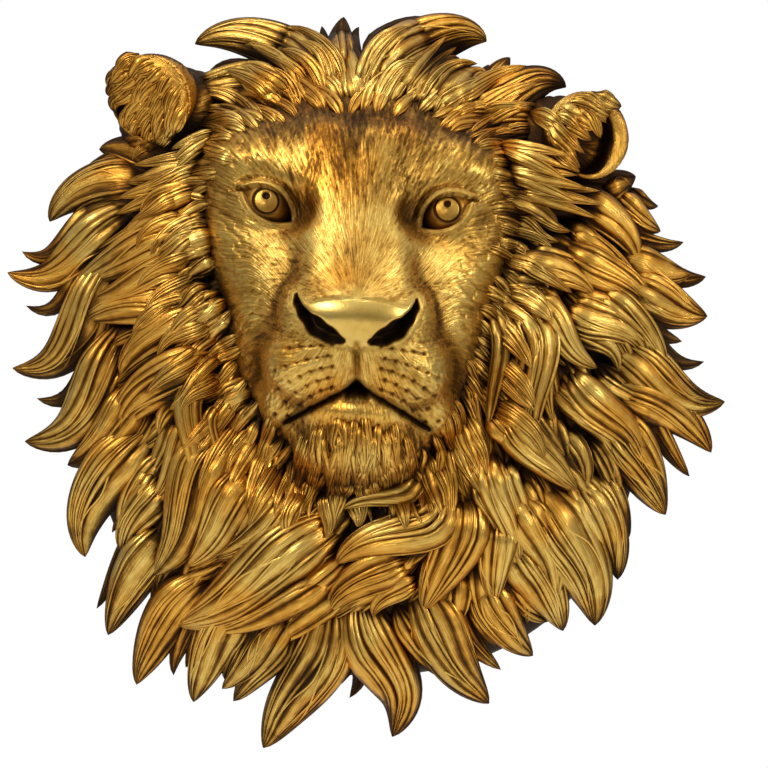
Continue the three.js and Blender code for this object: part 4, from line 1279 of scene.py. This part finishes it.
def cast_ear(name, ear, seed):
    rng = np.random.default_rng(seed)
    turn, tip = math.radians(ear["turn"]), math.radians(ear["tip"])
    out = np.array([math.cos(tip) * math.sin(turn), math.cos(tip) * math.cos(turn), -math.sin(tip)])
    right = np.cross(out, [0, 0, 1.0])
    right /= np.linalg.norm(right)
    up = np.cross(right, out)
    up *= np.sign(up[2])
    right *= np.sign(right[0])
    centre = hung([ear["x"], ear["d"], ear["v"]])
    bowl = np.radians(np.linspace(4, 88, 16))
    roll = np.radians(np.linspace(-50, 230, 20))
    around = 2 * np.pi * np.arange(EAR_COLUMNS) / EAR_COLUMNS
    open_side = np.cos((around - math.radians(EAR_OPEN)) / 2) ** 2
    thick = EAR_ROLL * (0.18 + 0.82 * smoothstep(0.86, 0.2, open_side))
    profile = [(EAR_RADIUS * math.sin(a), -EAR_BACK * math.cos(a)) for a in bowl]
    profile += [(EAR_RADIUS - thick + thick * math.cos(a), thick * math.sin(a)) for a in roll]
    profile += [((EAR_RADIUS - 2 * thick) * math.sin(a), -EAR_DEPTH * math.cos(a)) for a in bowl[::-1]]
    walked = np.linspace(0, 150, len(profile))
    wave = 1.1 * np.sin(3 * around + seed) + 0.5 * np.sin(7 * around + 2)
    rows, grooves, combs = [], [], []
    for k, (radius, along) in enumerate(profile):
        inside = k >= len(bowl) + len(roll)
        lean = 0.22 * walked[k]
        hair = lobes(EAR_HAIRS * around / (2 * np.pi) + 1.6 * wave + lean)
        bulk = 0.5 + 0.5 * np.sin(5 * around + 1.3 * wave + 0.05 * walked[k])
        relief = (0.8 + 1.2 * bulk) * (hair - 0.6) * np.minimum(radius / 20, 1)
        ring_radius = radius + (relief if not inside else -0.6 * relief)
        ring = np.cos(around)[:, None] * up + np.sin(around)[:, None] * right
        along = np.broadcast_to(along, around.shape)
        rows.append(centre + ring * ring_radius[:, None] + out * along[:, None])
        # The inside of the cup is washed dark, painted shade in its hollow, and so is the bottom point
        # inside the cup.
        grooves.append((1 - hair) * 0.5 + (1.6 if inside else 0.0))
        across = EAR_RADIUS * around + lean * 5
        combs.append(np.column_stack([across, np.full((EAR_COLUMNS, 2), (0.07 * walked[k], 9.0))]))
    points = np.concatenate(rows + [[centre - out * EAR_BACK, centre - out * EAR_DEPTH]])
    faces = tube_faces(len(profile), EAR_COLUMNS)
    combs = np.concatenate(combs + [np.full((2, 3), 9.0)])
    cast(name, points, faces, np.concatenate(grooves + [[0, 1]]), combs)

    flow = math.radians(ear["flow"])
    toward = math.sin(flow) * right + math.cos(flow) * up
    across = math.cos(flow) * right - math.sin(flow) * up
    routes = []
    for level, (back, tufts) in enumerate(ear["rows"]):
        for k in range(tufts):
            side = 0.92 * (2 * (k + rng.uniform(0.25, 0.75)) / tufts - 1)
            rim = math.sqrt(1.0 - side**2)
            behind = back * rng.uniform(0.94, 1.04) * rim
            root = EAR_RADIUS * (side * across - behind * toward)
            swing = math.radians(ear["spread"] * side + rng.normal(0, 9))
            heading = math.cos(swing) * toward + math.sin(swing) * across
            curl = math.cos(swing) * across - math.sin(swing) * toward
            length = EAR_RADIUS * rng.uniform(0.75, 1.1) * (0.5 + 0.5 * rim)
            bend = rng.uniform(0.06, 0.2) * length * (1 if rng.uniform(0, 1) < 0.7 else -1)
            reached = root + heading * length
            reached = reached * min(1.0, EAR_RADIUS / np.linalg.norm(reached))
            base = 5.0 - level
            start = centre + root + out * (base - 5.0)
            crest = centre + root + heading * length * 0.45 + curl * bend + out * (base + 7.0)
            end = centre + reached - curl * bend * 0.6 + out * (base - 2.0)
            routes.append((curl_route(start, crest, end), rng.uniform(12, 18), out))
    cast_locks(f"{name}_tufts", routes, seed + 1, stations=12, root=0.3, strand=2.6)


for order, (ear_name, ear) in enumerate(EARS.items()):
    cast_mound(f"{ear_name}_mound", ear["mound"])
    cast_ear(ear_name, ear, EAR_SEED + 10 * order)


# The ear locks: tufts of the mane that run over the lower edges of the ears, cast in one with
# both. Each row of the table is where a tuft starts, its crest, where it ends, and its width.
EAR_LOCKS = (
    ((100, 78, 186), (128, 122, 180), (160, 104, 166), 20),
    ((100, 78, 168), (134, 120, 160), (172, 96, 150), 22),
    ((108, 76, 152), (142, 112, 148), (184, 86, 138), 22),
    ((132, 60, 212), (146, 96, 208), (160, 92, 190), 18),
    ((156, 44, 158), (176, 62, 154), (206, 46, 142), 26),
    ((-114, 76, 196), (-136, 104, 188), (-156, 84, 172), 20),
    ((-120, 76, 178), (-148, 97, 170), (-182, 68, 158), 24),
    ((-128, 66, 162), (-158, 88, 154), (-196, 58, 144), 26),
)
EAR_LOCK_SEED = 57


def cast_ear_locks():
    rng = np.random.default_rng(EAR_LOCK_SEED)
    routes = []
    for start, crest, end, width in EAR_LOCKS:
        for shift in (-1, 0, 1):
            bent = crest + np.array([0, rng.uniform(-2, 2), shift * width * 0.22])
            spread = end + np.array([rng.uniform(-5, 5), -2.0 * abs(shift), shift * width * 0.5])
            route = curl_route(np.array(start), bent, spread)
            routes.append((route, width * rng.uniform(0.5, 0.8), FRONT))
    cast_locks("ear_locks", routes, EAR_LOCK_SEED + 1, stations=14, root=0.3, strand=3.2)


cast_ear_locks()


# The fringe: fine hair round the face, where its short coat runs out into the mane. It is
# laid on in two layers, and lies over the edge of the face. A place is x, z, heading, length.
HAIRLINE = (
    (-8, 212, 5, 58), (30, 210, 22, 58), (62, 202, 42, 54), (88, 188, 62, 50),
    (102, 166, 84, 46), (104, 136, 100, 46), (101, 98, 112, 48), (94, 60, 122, 50),
    (84, 22, 134, 52), (74, -14, 146, 54), (56, -48, 160, 50), (24, -72, 172, 30),
    (-8, -78, 182, 26), (-40, -74, 192, 34), (-64, -50, 205, 54), (-88, -18, 222, 54),
    (-102, 20, 234, 52), (-116, 58, 244, 50), (-122, 98, 252, 48), (-124, 136, 262, 46),
    (-119, 166, 280, 46), (-98, 192, 304, 50), (-70, 205, 325, 54), (-38, 211, 345, 58),
)
FRINGE_LAYERS = (
    {"name": "fringe_outer", "count": 96, "shift": 8, "length": 1.1, "width": 17, "lift": 3.5},
    {"name": "fringe_inner", "count": 150, "shift": -4, "length": 0.8, "width": 11, "lift": 2.5},
)
FRINGE_STRAND = 2.6
FRINGE_SEED = 61
CELL = 1.5
FIELD = 340
GAP_DEPTH = 25


def cells_of(x, z):
    last = int(2 * FIELD / CELL) - 1
    column = np.clip(((x + FIELD) / CELL).astype(int), 0, last)
    row = np.clip(((z + FIELD) / CELL).astype(int), 0, last)
    return row, column


def height_field(skins):
    """Greatest depth of the carving over each cell of the wall."""
    cells = int(2 * FIELD / CELL)
    field = np.zeros((cells, cells))
    for points in skins:
        np.maximum.at(field, cells_of(points[:, 0], points[:, 2]), points[:, 1])
    for _ in range(2):
        filled = greatest_near(field)
        field = np.where(field < filled - GAP_DEPTH, filled, field)
    return field


def blurred(field, covered, radius):
    """Mean depth of the covered cells around each cell."""
    steps = int(round(radius / CELL))
    layers = [field * covered, covered.astype(float)]
    for _ in range(3):
        for axis in (0, 1):
            for k, data in enumerate(layers):
                pad = [(steps + 1, steps) if a == axis else (0, 0) for a in (0, 1)]
                sums = np.cumsum(np.pad(data, pad), axis)
                high = np.take(sums, np.arange(2 * steps + 1, sums.shape[axis]), axis)
                low = np.take(sums, np.arange(0, sums.shape[axis] - 2 * steps - 1), axis)
                layers[k] = (high - low) / (2 * steps + 1)
    return layers[0] / np.maximum(layers[1], 1e-3)


def ground_under_hair():
    """Depth of whichever is in front, the face or the mane, made even for hair to lie on."""
    front = height_field([skin.reshape(-1, 3) for skin in [face_skin] + lock_tops])
    centres = (np.arange(front.shape[0]) + 0.5) * CELL - FIELD
    x, z = np.meshgrid(centres, centres)
    front = np.maximum(front, mane_depth(x, z) + 4)
    return blurred(front, np.ones(front.shape), 4.5)


ground_field = ground_under_hair()


def ground(x, z):
    return read_between(ground_field, (z + FIELD) / CELL - 0.5, (x + FIELD) / CELL - 0.5)


def ground_route(lock, lift, sink):
    return lying_route(lock, lift, ground, sink, 0.35, 0.3)


def along_hairline(share):
    """Place, heading in clock degrees and length of the fringe at a share of the way round."""
    table = np.array(HAIRLINE, dtype=float)
    at = (share % 1) * len(table)
    k = int(at)
    a, b = table[k % len(table)], table[(k + 1) % len(table)]
    turn = (b[2] - a[2] + 180) % 360 - 180
    f = at - k
    return a[:2] + f * (b[:2] - a[:2]), a[2] + f * turn, a[3] + f * (b[3] - a[3])


def cast_fringe():
    rng = np.random.default_rng(FRINGE_SEED)
    for layer in FRINGE_LAYERS:
        routes = []
        for k in range(layer["count"]):
            place, heading, length = along_hairline((k + rng.uniform(-0.3, 0.3)) / layer["count"])
            heading += rng.normal(0, 7)
            root = place + clock(heading) * (layer["shift"] + rng.uniform(-8, 8))
            length *= layer["length"] * rng.uniform(0.8, 1.25)
            fall = ((180 - heading + 180) % 360 - 180) * 0.16
            tip = root + length * clock(heading + fall)
            curl = rng.uniform(-26, 38) * (1 if fall > 0 else -1)
            width = layer["width"] * rng.uniform(0.75, 1.25)
            leave, arrive = heading - curl * 0.4, heading + 2 * fall + curl
            lock = (root, leave, tip, arrive, width, rng.uniform(-2, 2))
            routes.append(ground_route(lock, layer["lift"] * rng.uniform(0.6, 1.3), 7))
        seed = FRINGE_SEED + 1 + len(layer["name"])
        cast_locks(layer["name"], routes, seed, stations=12, root=0.2, strand=FRINGE_STRAND)


cast_fringe()


# The beard: wavy hair that hangs from the lower lip and the jaw, in four rows that overlap
# downwards.
BEARD_ROWS = ((-159, 28, 13), (-165, 42, 17), (-175, 47, 17), (-190, 48, 15))
BEARD_LENGTH = 50
BEARD_WIDTH = 8.5
BEARD_SEED = 71


def cast_beard():
    rng = np.random.default_rng(BEARD_SEED)
    routes = []
    for v, reach, count in reversed(BEARD_ROWS):
        for k in range(count):
            x = reach * (2 * (k + rng.uniform(0.2, 0.8)) / count - 1)
            z = FACE_Z + v - FACE_LEAN * x - 0.006 * x * x + rng.uniform(-8, 3)
            length = BEARD_LENGTH * rng.uniform(0.75, 1.2)
            heading = 180 - 0.35 * x + rng.normal(0, 5)
            root = np.array([FACE_X + x, z])
            tip = root + length * clock(heading)
            leave = heading + rng.uniform(-22, 22)
            arrive = heading + rng.uniform(-22, 22)
            lock = (root, leave, tip, arrive, BEARD_WIDTH, rng.uniform(-1.6, 1.6))
            routes.append(ground_route(lock, 3.0, 8))
    cast_locks("beard", routes, BEARD_SEED + 1, stations=14, root=0.2, strand=2.2)


cast_beard()


# The wash: a brown patina brushed over the whole casting and wiped off everything that
# stands proud, so that it stays in the grooves. Painted shade goes on with it: the lower a
# point lies below the casting round it, the darker, most of all in the gaps between the locks.
def skin_points(piece):
    place = np.empty(3 * len(piece.data.vertices))
    piece.data.vertices.foreach_get("co", place)
    return flipped(place.reshape(-1, 3) / MM)


def paint_patina_and_shade(skins):
    places = [skin_points(piece) for piece, _ in skins]
    field = height_field(places)
    covered = field > 1
    near, wide = blurred(field, covered, 4.5), blurred(field, covered, 12)
    for (piece, groove), points in zip(skins, places):
        cell = cells_of(points[:, 0], points[:, 2])
        # Of the two measures below, the near one is partly patina left in the grooves and partly painted
        # shade in small recesses; the wide one is painted shade that darkens the gaps between the locks and
        # every deep recess. The face and the eyes keep less of both.
        sunk = np.clip((near[cell] - points[:, 1] + 1.0) / 11, 0, 1)
        deep_painted_shade = np.clip((wide[cell] - points[:, 1]) / 30, 0, 1)
        kept = {"face": 0.45, "eye_": 0.25}.get(piece.name[:4], 1.0)
        wash = 0.13 + 0.06 * kept + 0.5 * groove + kept * (0.85 * sunk + 0.7 * deep_painted_shade)
        paler = np.full(len(points), 0.1 if piece.name.startswith("face") else -0.02)
        for name, values in (("patina", np.clip(wash, 0, 1)), ("paler", paler)):
            attribute = piece.data.attributes.new(name, "FLOAT", "POINT")
            attribute.data.foreach_set("value", values.astype(np.float32))


paint_patina_and_shade(cast_skins)
